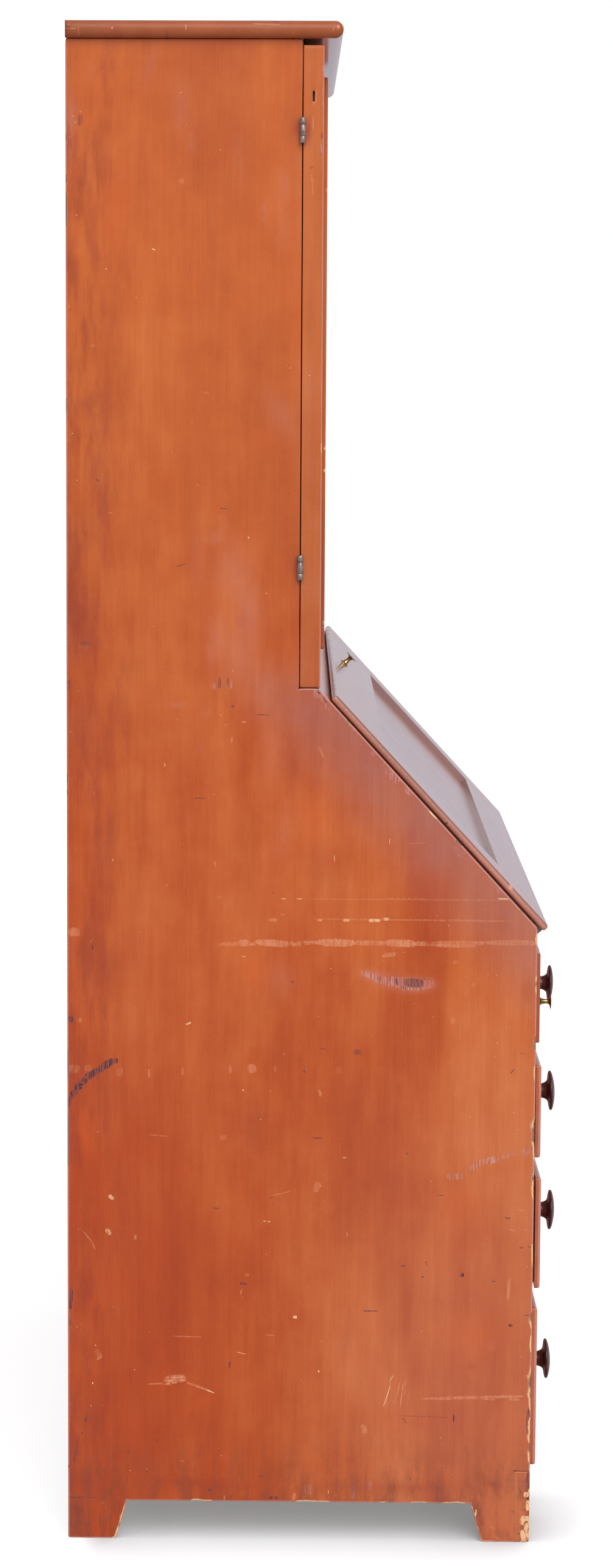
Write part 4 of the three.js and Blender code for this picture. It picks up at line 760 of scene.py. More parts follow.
# Marks seen on the side at -X. Each row: depth and height of its middle, half its length and
# half its width in millimetres, its turn in degrees from front-to-back, and its strength
SIDE_MARKS = {
    "bare": [
        (10, 0, 16.4, 1.1, 0, 0.8), (45, 0, 16.4, 1.3, 0, 0.9), (66, 13, 11.8, 1.3, -70, 0.8),
        (612, 66, 3.8, 4.1, 0, 1), (614, 51, 7.9, 2.8, 90, 1), (611, 30, 7.2, 7.5, 90, 1),
        (613, 20, 14.1, 3.8, 90, 1), (609, 9, 8.8, 4.4, 80, 1), (545, 40, 5.3, 1.4, 95, 0.9),
        (560, 1, 9.4, 1.1, 0, 0.9), (585, 0, 18.9, 0.8, 0, 0.7), (608, 1, 6.9, 1.3, 0, 0.9),
        (552, 4, 4.1, 1.6, 50, 0.8), (614, 126, 2.5, 1.1, 90, 0.9), (61, 1990, 1.6, 1.2, -30, 0.8),
        (35, 1992, 1.2, 1.2, 0, 0.6), (113, 1712, 2.9, 0.8, 22, 1), (52, 1687, 0.8, 0.8, 0, 0.9),
        (14, 1755, 0.7, 0.7, 0, 0.9), (14, 1416, 0.7, 0.7, 0, 0.9), (236, 1343, 1.6, 1, 60, 0.8),
        (231, 1103, 2.6, 0.6, 0, 0.8), (128, 1046, 2.3, 0.7, 90, 0.7), (60, 920, 2, 0.7, 60, 0.7),
        (284, 870, 3.3, 0.7, 0, 0.8), (305, 870, 3.9, 0.7, 0, 0.8), (283, 849, 2.6, 0.7, 10, 0.7),
        (160, 703, 3.9, 1.3, -25, 0.8), (232, 793, 2.6, 0.6, 0, 0.7), (232, 614, 1.3, 1, 0, 0.9),
        (285, 663, 1.3, 1.6, 0, 0.6), (58, 468, 4.6, 2.9, 40, 0.7), (54, 421, 5.2, 3.3, 60, 0.6),
        (264, 437, 5.2, 1.3, 5, 0.6), (37, 266, 0.8, 0.8, 0, 1), (40, 247, 0.8, 0.8, 0, 1),
        (33, 214, 1.6, 1.1, 80, 0.9), (31, 183, 0.7, 0.7, 0, 0.9), (89, 233, 0.7, 0.7, 0, 0.9),
        (57, 144, 0.7, 0.7, 0, 0.9), (83, 94, 0.7, 0.7, 0, 0.9), (46, 49, 0.7, 0.7, 0, 0.9),
        (137, 215, 9.8, 0.5, -3, 1), (134, 218, 7.2, 0.5, -6, 0.9), (141, 220, 9.8, 0.5, -8, 0.9),
        (146, 223, 8.5, 0.4, -6, 0.8), (132, 213, 5.9, 0.5, 0, 0.9), (153, 219, 5.2, 0.4, 4, 0.8),
        (190, 204, 5.9, 0.8, 22, 1), (231, 257, 6.6, 0.5, 15, 0.8), (302, 307, 2.9, 2.3, 0, 1),
        (230, 339, 5.2, 0.5, 100, 0.7), (403, 842, 8.5, 2.6, 0, 0.8), (418, 844, 5.2, 2.3, 0, 0.7),
        (366, 842, 4.6, 2, 0, 0.6), (331, 842, 3.3, 1.6, 0, 0.5), (571, 872, 7.9, 1.3, 0, 0.7),
        (422, 947, 4.6, 0.5, 90, 0.8), (350, 924, 4.6, 0.5, 88, 0.8), (366, 524, 2.6, 0.7, 0, 0.7),
        (334, 233, 2, 1, 60, 0.9), (425, 200, 15.7, 0.7, -72, 0.8), (432, 226, 7.2, 0.5, -60, 0.7),
        (348, 67, 2.6, 0.6, 90, 0.8),
    ],
    "pale": [
        (567, 20, 4.1, 0.5, 25, 0.9), (563, 27, 1.4, 0.6, 0, 0.9), (575, 5, 4.7, 0.8, 25, 0.9),
        (154, 1991, 4.3, 0.8, 90, 0.9), (7, 1989, 8.6, 0.8, 2, 0.8), (18, 1985, 5.5, 0.6, 85, 0.8),
        (256, 1995, 19.7, 1.2, 2, 0.5), (347, 1992, 2.6, 2, 90, 1), (341, 1989, 2.6, 1, 90, 1),
        (316, 1872, 9.8, 0.8, 90, 0.7), (316, 1794, 11.8, 0.6, 90, 0.6),
        (318, 1906, 8.6, 2.6, 92, 0.9), (314, 1803, 5.9, 0.6, 90, 0.5),
        (232, 811, 7.9, 5.2, 0, 0.9), (208, 808, 13.1, 1.6, 0, 0.6), (270, 811, 24.9, 5.2, 3, 0.9),
        (301, 811, 9.8, 4.3, 0, 0.7), (310, 812, 9.8, 3.9, 0, 0.6), (353, 812, 26.9, 5.6, 1, 1),
        (386, 812, 9.8, 3.3, 0, 0.7), (438, 812, 22.3, 5.6, 2, 1), (470, 811, 16.4, 2.9, 0, 0.7),
        (508, 810, 30.1, 3.6, 1, 0.9), (581, 814, 35.4, 3.6, -1, 0.55),
        (413, 812, 117.9, 3.6, 0.2, 0.75), (556, 813, 85.2, 2.9, 0.4, 0.65),
        (252, 810, 59, 2.9, -0.5, 0.6), (452, 870, 153.9, 0.8, 0, 0.45),
        (442, 871, 29.5, 1.1, 0, 0.6), (453, 843, 144.1, 1.3, 0.3, 0.45),
        (516, 843, 19.7, 1.6, 0, 0.4), (422, 796, 9.8, 2.9, -8, 0.6),
        (423, 797, 9.2, 2.9, -8, 0.6), (270, 842, 5.9, 2.6, 0, 0.6), (9, 641, 8.5, 5.9, 0, 0.35),
        (27, 642, 4.9, 4.9, 0, 0.35), (69, 637, 4.3, 6.6, 0, 0.35), (108, 636, 2, 6.6, 0, 0.5),
        (152, 639, 2, 6.6, 0, 0.5), (215, 642, 2, 6.6, 0, 0.5), (243, 643, 6.6, 6.6, 0, 0.6),
        (274, 643, 1.6, 4.9, 0, 0.35), (206, 550, 4.3, 3.6, 0, 0.4), (120, 552, 13.8, 1, 4, 0.5),
        (283, 475, 13.8, 0.8, -14, 0.6), (90, 414, 3.6, 2, 90, 0.6), (25, 416, 13.1, 1, 50, 0.6),
        (34, 403, 7.2, 1.3, 70, 0.5), (16, 424, 4.6, 0.7, 10, 0.5), (143, 221, 15.7, 5.9, -4, 0.8),
        (117, 214, 11.1, 1.3, -4, 0.6), (175, 210, 19.7, 1.6, 20, 0.8),
        (41, 254, 7.9, 3.9, 62, 0.5), (160, 279, 19.7, 0.8, 1, 0.7), (269, 282, 6.6, 0.7, 3, 0.7),
        (302, 59, 6.6, 2, 100, 0.8), (209, 57, 3.9, 1, 90, 0.8), (440, 208, 19.7, 0.7, 100, 0.9),
        (445, 204, 21.6, 0.9, 97, 0.9), (449, 209, 16.4, 0.7, 95, 0.8),
        (437, 197, 13.1, 0.6, 104, 0.7), (453, 199, 11.8, 0.5, 92, 0.6),
        (427, 207, 22.9, 0.8, 100, 0.6), (540, 199, 72, 2.3, -2, 0.8), (499, 197, 15.1, 2, 0, 0.7),
        (558, 198, 11.1, 2.6, 8, 0.7), (594, 197, 7.9, 2.3, 0, 0.6), (395, 154, 7.2, 3.9, 75, 0.6),
        (585, 348, 15.1, 2.6, 93, 0.6), (510, 787, 3.9, 2.6, 0, 0.4), (533, 757, 2.6, 2.6, 0, 0.5),
        (507, 709, 3.3, 5.2, 0, 0.35), (330, 484, 7.9, 4.6, 110, 0.55),
        (333, 611, 5.2, 2, 75, 0.6), (358, 642, 3.3, 5.2, 0, 0.3), (599, 455, 5.2, 1, 10, 0.5),
        (589, 428, 3.9, 1.1, 15, 0.6), (606, 428, 2.6, 1.1, 15, 0.6),
        (370, 420, 3.3, 1.3, 80, 0.5), (332, 1064, 8.5, 2, 65, 0.45),
        (458, 945, 12.4, 1, -3, 0.35), (148, 1799, 3.9, 3.9, 0, 0.35),
        (35, 1589, 2.6, 2.6, 0, 0.5), (57, 1374, 2.9, 1, 5, 0.5), (181, 1529, 3.9, 1.3, 0, 0.4),
        (215, 1079, 3.9, 1.6, 100, 0.5), (194, 916, 3.3, 1.3, 80, 0.5), (9, 824, 8.5, 6.6, 0, 0.6),
        (17, 706, 2.3, 3.9, 10, 0.6), (238, 364, 2.6, 2, 0, 0.5), (153, 108, 2.6, 1.6, 0, 0.35),
    ],
    "haze": [
        (401, 768, 18.3, 7.9, 22, 0.8), (428, 760, 26.2, 10.5, 8, 1), (458, 757, 26.2, 10.5, 0, 1),
        (7, 1879, 29.5, 7.2, 90, 0.8), (6, 1837, 19.7, 4.6, 90, 0.5),
        (148, 1892, 39.3, 13.1, 90, 0.4), (161, 1847, 22.9, 5.2, 90, 0.45),
        (108, 1943, 29.5, 9.8, 100, 0.35), (221, 1832, 36, 6.6, 85, 0.35),
        (278, 1793, 22.9, 9.8, 90, 0.45), (254, 1761, 22.9, 6.6, 90, 0.35),
        (278, 1739, 36, 7.9, 90, 0.35), (32, 1939, 16.4, 5.9, 90, 0.3),
        (278, 1501, 39.3, 19.7, 60, 0.5), (193, 1343, 12.4, 8.5, 0, 0.6),
        (203, 1364, 13.1, 3.3, 90, 0.5), (216, 1298, 42.6, 29.5, 90, 0.55),
        (236, 1242, 42.6, 19.7, 90, 0.75), (197, 1219, 29.5, 16.4, 90, 0.5),
        (170, 1318, 52.4, 8.5, 90, 0.3), (224, 1188, 36, 26.2, 90, 0.55),
        (189, 1191, 19.7, 7.9, 90, 0.45), (182, 1115, 7.9, 5.2, 100, 0.5),
        (257, 1145, 39.3, 19.7, 90, 0.4), (267, 1059, 45.9, 16.4, 90, 0.3),
        (173, 1065, 6.6, 3.9, 90, 0.5), (284, 959, 39.3, 11.1, 100, 0.35),
        (23, 1203, 6.6, 5.2, 0, 0.5), (145, 1123, 13.8, 3.9, 3, 0.7),
        (413, 766, 29.5, 4.6, 8, 0.8), (453, 756, 26.2, 7.2, 4, 0.9), (477, 760, 8.5, 4.6, 0, 0.6),
        (593, 533, 22.9, 3.3, -10, 0.35), (453, 961, 4.6, 2.6, 0, 0.4),
        (504, 943, 19.7, 8.5, 40, 0.3), (366, 1043, 3.9, 5.2, 0, 0.4),
        (300, 842, 11.1, 1.3, 0, 0.6), (420, 92, 21, 1.3, 90, 0.7),
        (282, 762, 29.5, 19.7, 90, 0.35), (563, 271, 9.8, 7.9, 0, 0.3),
        (562, 887, 19.7, 3.3, 48, 0.4),
    ],
    "dark": [
        (328, 1144, 5.2, 2.3, 70, 0.7), (336, 1132, 4.6, 1.6, 60, 0.6),
        (614, 85, 14.1, 1.9, 90, 1), (614, 60, 9.4, 1.4, 95, 0.8), (594, 42, 3.5, 1.9, 0, 0.3),
        (568, 78, 2.2, 1.1, 0, 0.5), (604, 71, 7.9, 1.3, 60, 0.35), (609, 45, 3.1, 1.3, 0, 0.5),
        (604, 12, 2.5, 2.2, 0, 0.4), (268, 1998, 5.1, 1, 0, 0.6), (242, 1999, 8.6, 0.8, 0, 0.5),
        (130, 1980, 5.9, 2, 90, 0.4), (314, 1816, 2.4, 1.2, -30, 0.6),
        (328, 1856, 4.7, 1.8, 92, 0.5), (63, 652, 4.5, 3.8, -15, 0.9), (57, 650, 6.7, 5.2, -22, 1),
        (51, 646, 6.7, 5.8, -30, 1), (44, 641, 6.7, 5.6, -34, 1), (36, 636, 6.7, 5.4, -34, 1),
        (28, 631, 6.7, 5.4, -38, 1), (21, 624, 6.7, 5.2, -42, 1), (15, 617, 6.7, 4.9, -46, 1),
        (9, 609, 6.7, 4.5, -55, 0.95), (4, 601, 6.3, 3.6, -62, 0.9), (1, 592, 5.6, 2.5, -70, 0.8),
        (4, 707, 3.9, 4.6, 0, 1), (0, 682, 1.6, 2.9, 90, 0.8), (33, 803, 3.6, 1.5, 100, 1),
        (433, 761, 5.8, 1.8, 80, 0.8), (455, 759, 14.7, 6.6, 3, 0.75),
        (442, 754, 2.1, 2.9, 0, 0.5), (468, 761, 5.2, 1.6, 95, 0.6), (446, 763, 5.2, 2.1, 0, 0.6),
        (313, 639, 2.9, 1, 55, 1), (586, 642, 4.3, 0.8, -48, 0.8), (337, 670, 3.9, 1.3, 5, 0.5),
        (330, 550, 8.5, 1.3, 2, 0.6), (382, 666, 6.6, 3.9, 0, 0.5), (449, 530, 1.6, 1.6, 0, 0.6),
        (493, 474, 5.2, 0.8, -2, 0.6), (582, 444, 3.9, 1.3, 5, 0.7), (445, 378, 3.9, 1.6, 0, 0.6),
        (476, 380, 1, 3.3, 0, 0.7), (599, 666, 4.6, 0.7, 0, 0.5), (601, 404, 3.3, 1.3, 0, 0.5),
        (612, 405, 2.6, 1.3, 0, 0.5), (523, 366, 2.6, 3.3, 20, 1), (471, 363, 1.6, 1.3, 0, 0.8),
        (588, 298, 2.6, 2.3, 0, 0.9), (402, 316, 11.1, 1.1, 0, 0.8), (565, 358, 3.3, 1, 10, 0.6),
        (514, 170, 5.2, 1.3, 90, 0.7), (457, 86, 2.9, 1.1, 60, 0.9), (475, 382, 1, 2.9, 0, 0.7),
        (609, 312, 3.3, 1, 0, 0.6), (476, 172, 36, 0.7, 2, 0.35), (449, 166, 4.6, 1, 50, 0.5),
        (606, 98, 10.5, 0.6, 0, 0.9), (215, 241, 4.9, 1.5, 95, 0.8), (233, 352, 5.2, 2.3, 10, 0.7),
        (24, 164, 4.3, 1.6, -55, 1), (189, 68, 2.6, 2, 10, 1), (80, 120, 2.6, 1.3, 80, 0.6),
        (119, 135, 2.6, 1.1, 90, 0.7), (19, 145, 1.3, 1.3, 0, 0.6), (258, 87, 3.9, 2, 10, 0.5),
        (4, 330, 16.4, 2.9, 92, 0.8), (2, 297, 5.9, 2.3, 90, 0.8), (19, 56, 19.7, 1.3, 0, 0.5),
        (275, 58, 6.6, 2.6, 0, 0.7), (11, 123, 19.7, 2, 100, 0.35), (40, 1416, 2.3, 1.6, 60, 0.6),
        (149, 1307, 6.6, 0.8, -20, 0.8), (203, 1380, 4.6, 1, 0, 0.7), (288, 1400, 1.1, 1, 0, 0.8),
        (24, 1204, 6.6, 2.9, 0, 0.4), (216, 1123, 2, 2.3, 0, 0.8), (174, 1002, 8.5, 1.1, 2, 0.6),
        (255, 1112, 9.8, 1.3, 2, 0.5), (270, 878, 2, 0.7, 85, 0.8), (112, 953, 0.8, 0.8, 0, 0.8),
        (210, 1155, 1.6, 7.2, 0, 0.4), (199, 1154, 2.3, 7.9, 0, 0.6), (2, 1150, 7.2, 2.3, 95, 0.7),
        (296, 759, 2.3, 2, 0, 0.6), (196, 454, 5.2, 1.3, 5, 0.6), (270, 469, 2.3, 1, 0, 0.6),
        (2, 629, 2.6, 3.9, 0, 0.4), (19, 1875, 2.9, 7.9, 0, 0.4), (613, 166, 19.7, 2.6, 90, 0.8),
        (614, 82, 16.4, 2.3, 92, 0.8),
    ],
    "stain": [
        (309, 1862, 17.7, 5.1, 90, 0.8), (70, 2001, 59, 3.9, 0, 0.5), (231, 2001, 59, 3.5, 0, 0.5),
        (48, 780, 29.5, 29.5, 0, 0.55), (22, 1100, 55.7, 29.5, 90, 0.5),
        (16, 1234, 52.4, 29.5, 80, 0.6), (45, 910, 59, 16.4, 95, 0.35),
        (33, 1366, 52.4, 26.2, 90, 0.3), (34, 80, 36, 39.3, 90, 0.55),
        (11, 41, 29.5, 19.7, 0, 0.5), (31, 167, 36, 22.9, 90, 0.35),
        (106, 244, 22.9, 4.6, 90, 0.5), (246, 564, 39.3, 22.9, 90, 0.4),
        (297, 1046, 29.5, 13.1, 90, 0.5), (382, 600, 39.3, 19.7, 90, 0.25),
        (371, 282, 39.3, 9.8, 95, 0.3), (448, 317, 49.1, 19.7, 95, 0.25),
        (180, 78, 85.2, 8.5, 2, 0.45), (409, 73, 137.6, 11.1, 0, 0.4),
        (568, 78, 19.7, 5.2, 10, 0.4), (295, 1867, 5.2, 13.1, 0, 0.6),
        (297, 1305, 6.6, 15.1, 0, 0.6), (14, 1805, 29.5, 13.1, 95, 0.3),
        (167, 814, 1.6, 1.6, 0, 1), (176, 819, 2.6, 2, 0, 1), (183, 822, 1.6, 1.3, 0, 1),
        (536, 234, 29.5, 1.3, 105, 0.5), (568, 79, 5.2, 2.9, 0, 0.6),
        (333, 912, 39.3, 19.7, 90, 0.25), (605, 751, 19.7, 8.5, 90, 0.3),
    ],
    "glow": [
        (28, 556, 36, 19.7, 90, 0.8), (45, 341, 45.9, 22.9, 90, 0.6),
        (59, 1748, 72, 19.7, 90, 0.5), (471, 280, 2.3, 2.3, 0, 1), (482, 286, 5.9, 1.3, -30, 0.5),
        (424, 285, 11.1, 1.3, 10, 0.5), (560, 134, 2.6, 3.3, 0, 0.9),
        (245, 775, 22.9, 19.7, 60, 0.5), (255, 1469, 19.7, 16.4, 0, 0.35),
        (322, 979, 39.3, 19.7, 90, 0.4), (520, 464, 52.4, 29.5, 90, 0.35),
        (542, 283, 52.4, 36, 0, 0.35), (180, 189, 19.7, 8.5, -30, 0.3),
    ],
    "hatch": [
        (333, 1137, 11.1, 5.2, 60, 1), (324, 1140, 6.6, 3.3, 80, 0.9),
        (338, 1125, 7.9, 2.6, 70, 0.8), (398, 769, 13.1, 4.7, 22, 1), (414, 763, 14.4, 5.5, 12, 1),
        (433, 760, 18.3, 7.6, 8, 1), (453, 756, 19.7, 8.1, 4, 1), (471, 757, 13.1, 6.8, -10, 0.9),
        (610, 88, 5.3, 1.3, 92, 1), (609, 80, 4.1, 1.4, 90, 1), (593, 10, 2.2, 1.4, 90, 0.5),
        (601, 22, 3.1, 1.3, 0, 0.5), (328, 1941, 3.9, 2.2, 90, 0.9), (327, 1841, 9.8, 2.6, 100, 1),
        (328, 1905, 11.8, 1.4, 90, 0.6), (512, 500, 11.1, 4.6, 0, 1),
        (539, 515, 11.8, 4.3, -38, 0.9), (559, 522, 11.1, 5.2, -12, 1),
        (581, 528, 11.1, 2.9, -12, 0.6), (608, 535, 9.8, 4.6, -20, 0.8),
        (428, 1036, 9.8, 13.1, -45, 0.8), (448, 1016, 8.5, 8.5, -45, 0.8),
        (404, 1066, 9.8, 4.6, -45, 0.6), (378, 1099, 9.8, 4.6, -45, 0.6),
        (518, 940, 16.4, 8.5, -45, 0.35), (568, 885, 9.8, 5.2, -45, 0.5),
        (368, 1106, 4.6, 3.3, 0, 0.6), (192, 1149, 2, 5.9, 0, 0.9), (209, 1149, 1.3, 3.3, 0, 0.9),
        (214, 1153, 2, 7.2, 0, 0.8), (381, 67, 3.3, 9.8, 0, 0.5), (404, 76, 3.3, 7.9, 0, 0.4),
        (321, 70, 6.6, 7.9, 0, 0.4),
    ],
}
SOFT_KINDS = ("haze", "stain", "glow")


def in_stroke(points, rows):
    """Points' coordinates in rows' own axes, in which a row's ellipse has radius 1."""
    turn = np.radians(rows[:, 4])
    offset = points - rows[:, :2] * MM
    along = offset[..., 0] * np.cos(turn) - offset[..., 1] * np.sin(turn)
    across = offset[..., 0] * np.sin(turn) + offset[..., 1] * np.cos(turn)
    return along / (rows[:, 2] * MM), across / (rows[:, 3] * MM)


def mark(obj, marks, to_plane, shown):
    """Lays marks on an object. to_plane gives points' two coordinates in the marks' plane, and
    shown says which points can carry marks.

    Soft kinds are summed on points as strength times exp(-1.5 r^2). For the others each face
    takes the stroke nearest to it, measured to the stroke's middle line and less its half
    width, and the face's corners hold their coordinates in that stroke's axes."""
    mesh = obj.data
    verts = np.empty(len(mesh.vertices) * 3, np.float32)
    mesh.vertices.foreach_get("co", verts)
    verts = verts.reshape(-1, 3).astype(float)
    flat, visible = to_plane(verts), shown(verts)
    tones = np.zeros((len(verts), 3), np.float32)
    for column, kind in enumerate(SOFT_KINDS):
        if kind in marks:
            rows = np.array(marks[kind], float)
            along, across = in_stroke(flat[:, None], rows)
            amount = (np.exp(-1.5 * (along**2 + across**2)) * rows[:, 5]).sum(axis=1)
            tones[:, column] = np.minimum(amount, 1) * visible
    mesh.attributes.new("tones", "FLOAT_VECTOR", "POINT").data.foreach_set("vector", tones.ravel())

    corner_vert = np.empty(len(mesh.loops), np.int32)
    mesh.loops.foreach_get("vertex_index", corner_vert)
    sizes = np.empty(len(mesh.polygons), np.int32)
    mesh.polygons.foreach_get("loop_total", sizes)
    face = np.repeat(np.arange(len(sizes)), sizes)
    middle = np.stack([np.bincount(face, flat[corner_vert, k]) / sizes for k in (0, 1)], axis=1)
    for kind in STROKE_KINDS:
        if kind not in marks:
            continue
        rows = np.array(marks[kind], float)
        along, across = in_stroke(middle[:, None], rows)
        long, wide = rows[:, 2] * MM, rows[:, 3] * MM
        past = np.clip(np.abs(along) * long - np.clip(long - wide, 0, None), 0, None)
        nearest = (np.hypot(past, across * wide) - wide).argmin(axis=1)[face]
        chosen = rows[nearest]
        stroke = np.stack([
            *in_stroke(flat[corner_vert], chosen), chosen[:, 5] * visible[corner_vert],
        ], axis=1).astype(np.float32)
        layer = mesh.attributes.new(f"stroke_{kind}", "FLOAT_VECTOR", "CORNER")
        layer.data.foreach_set("vector", stroke.ravel())


def scattered(seed, size, counts):
    """Random marks of each kind over an area of the given size from the origin."""
    dice = np.random.default_rng(seed)
    lengths = {"bare": (2, 6, 0.35), "pale": (8, 30, 0.3), "dark": (3, 14, 0.3),
               "hatch": (8, 24, 0.6), "haze": (40, 120, 0.5), "stain": (30, 110, 0.5),
               "glow": (50, 140, 0.6)}
    marks = {}
    for kind, count in counts.items():
        low, high, slender = lengths[kind]
        half = dice.uniform(low, high, count)
        marks[kind] = np.stack([
            dice.uniform(0, size[0], count), dice.uniform(0, size[1], count), half,
            half * slender * dice.uniform(0.5, 1.2, count), dice.uniform(-100, 100, count),
            dice.uniform(0.3, 0.8, count),
        ], axis=1)
    return marks


# The case
def depth(value):
    """World Y of a depth in millimetres, counted forwards from the back of the case."""
    return BACK_Y - value * MM


def corners_of(node):
    """The low and the high corner of a node's box."""
    low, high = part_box(node)
    return np.array(low), np.array(high)


# Sizes in millimetres. A front or back is a depth, a head or foot is a height, a half is an X
SIDE_HALF = 500
LOWER_FRONT, UPPER_FRONT = 616.5, 302.4
CASE_HEAD, ARCH_HEAD = 1978, 52.5
SKIRT_BACK, SKIRT_HEAD = 595.75, 98.3
LID_FOOT = 833
LEDGE_FRONT, LEDGE_HEAD = 327.7, 1147.2
REBATE = 14.3  # depth of the back boards
SIDE_OUTLINE = [
    (0, 0), (64, 0), (79, ARCH_HEAD), (537.5, ARCH_HEAD), (552.5, 0), (SKIRT_BACK, 0),
    (SKIRT_BACK, SKIRT_HEAD), (LOWER_FRONT, SKIRT_HEAD), (LOWER_FRONT, LID_FOOT),
    (LEDGE_FRONT, LEDGE_HEAD), (UPPER_FRONT, LEDGE_HEAD), (UPPER_FRONT, CASE_HEAD),
    (0, CASE_HEAD),
]
# Chips along the front arris of the case: height, half length and reach, in millimetres
FRONT_CHIPS = [
    (213, 30, 4.2), (304, 10, 2.6), (273, 11, 2.4), (487, 17, 2.6), (560, 20, 4), (150, 22, 3),
    (680, 8, 1.6), (640, 9, 1.8), (120, 10, 3.6), (400, 8, 1.4), (820, 7, 2),
]


def front_chips(points, seed):
    """Light chips and rubbing along the arrises of a board's front face only."""
    return [RUBBED + light_chips(points, seed)[0], np.zeros(len(points))]


def side_chips(points, seed):
    """Chips on a case side: noise over a threshold, stronger along the front, the slope and the
    feet than along the back, plus the front arris's own chips."""
    forward, z = (BACK_Y - points[:, 0]) / MM, points[:, 1] / MM
    low_down = z < ARCH_HEAD + 1.5
    amount = np.full(len(points), 0.35)
    amount[forward > LOWER_FRONT - 16.5] = 0.4
    amount[(z > LID_FOOT + 7) & (z < LEDGE_HEAD - 1.2)] = 0.5
    amount[low_down] = 0.9
    amount[(forward < 3) & ~low_down] = 0.2
    for hidden in (forward - UPPER_FRONT, forward - SKIRT_BACK, z - SKIRT_HEAD, z - CASE_HEAD):
        amount[np.abs(hidden) < 1] = 0
    rubbed = RUBBED * (amount > 0)
    own = np.zeros(len(points))
    for height, half, reach in FRONT_CHIPS:
        near = np.clip(1 - ((z - height) / half) ** 2, 0, 1)
        own = np.maximum(own, reach * MM * np.sqrt(near) * (forward > LOWER_FRONT - 1.5))
    raggedness = 1 + 0.6 * value_noise(points, 5 * MM, seed + 9)
    random = [
        rubbed + 8 * MM * amount * np.clip(layered_noise(points, 38 * MM, seed + k) - 0.28, 0, 1)
        for k in (0, 40)
    ]
    return [np.minimum(np.maximum(own * raggedness, random[0]), 9 * MM), random[1]]


# How many random marks of each kind lie on the side at +X, which the photograph doesn't show
FAR_SIDE_MARKS = {
    "bare": 30, "pale": 24, "dark": 20, "hatch": 6, "haze": 14, "stain": 12, "glow": 8,
}


def mark_sides(obj):
    """Lays the seen marks on an object's faces at -X, and random ones on those at +X."""
    others = scattered(3, (616, CASE_HEAD), FAR_SIDE_MARKS)
    middle = np.array(obj.bound_box)[:, 0].mean()
    mark(
        obj, others if middle > 200 * MM else SIDE_MARKS,
        lambda verts: np.stack([BACK_Y - verts[:, 1], verts[:, 2]], axis=1),
        lambda verts: np.abs(verts[:, 0]) > (SIDE_HALF - 5) * MM,
    )


def mirrored(skins, sign):
    """Skins built for the side at -X, for the side with the given sign of X."""
    return [moved(skin, np.diag([-sign, 1.0, 1, 1])) for skin in skins]


def make_sides():
    """Each side is two skins: the outer part with the whole outline, and behind it the part
    that leaves the rebate for the back boards free."""
    outer, inner, split = SIDE_HALF * MM, 478 * MM, 488 * MM
    inner_outline = [(REBATE, 54), *SIDE_OUTLINE[3:-1], (REBATE, CASE_HEAD)]
    for side, sign in SIDE_SIGNS.items():
        eases = [(1.2 * MM, 0.2 * MM)] * len(SIDE_OUTLINE)
        eases[5] = eases[6] = (0.02 * MM, 0.02 * MM)  # where the skirt meets it
        shallow = slab(
            [(depth(d), z * MM) for d, z in SIDE_OUTLINE], -outer, -split, "yzx", "z",
            ease=eases, reach=10 * MM, step=4 * MM, chips=side_chips,
            seed=11 + sign, corner_ease=2.5 * MM,
        )
        deep = slab(
            [(depth(d), z * MM) for d, z in inner_outline], -split - 1 * MM, -inner, "yzx", "z",
            ease=0.5 * MM, reach=2 * MM, seed=31 + sign,
        )
        shallow = filled(shallow, 0, "yz", 8 * MM)
        skins = mirrored([shallow, deep], sign)
        mark_sides(piece(f"case_side_{side}", skins, f"side_{side}", "case"))


def plain_boards(finish, *nodes):
    """One board for each node, filling its box, with its grain along its longest side."""
    for number, node in enumerate(nodes):
        low, high = corners_of(node)
        along = "xyz"[int(np.argmax(high - low))]
        piece(f"{node}_board", [plank(low, high, along, seed=number)], node, finish)


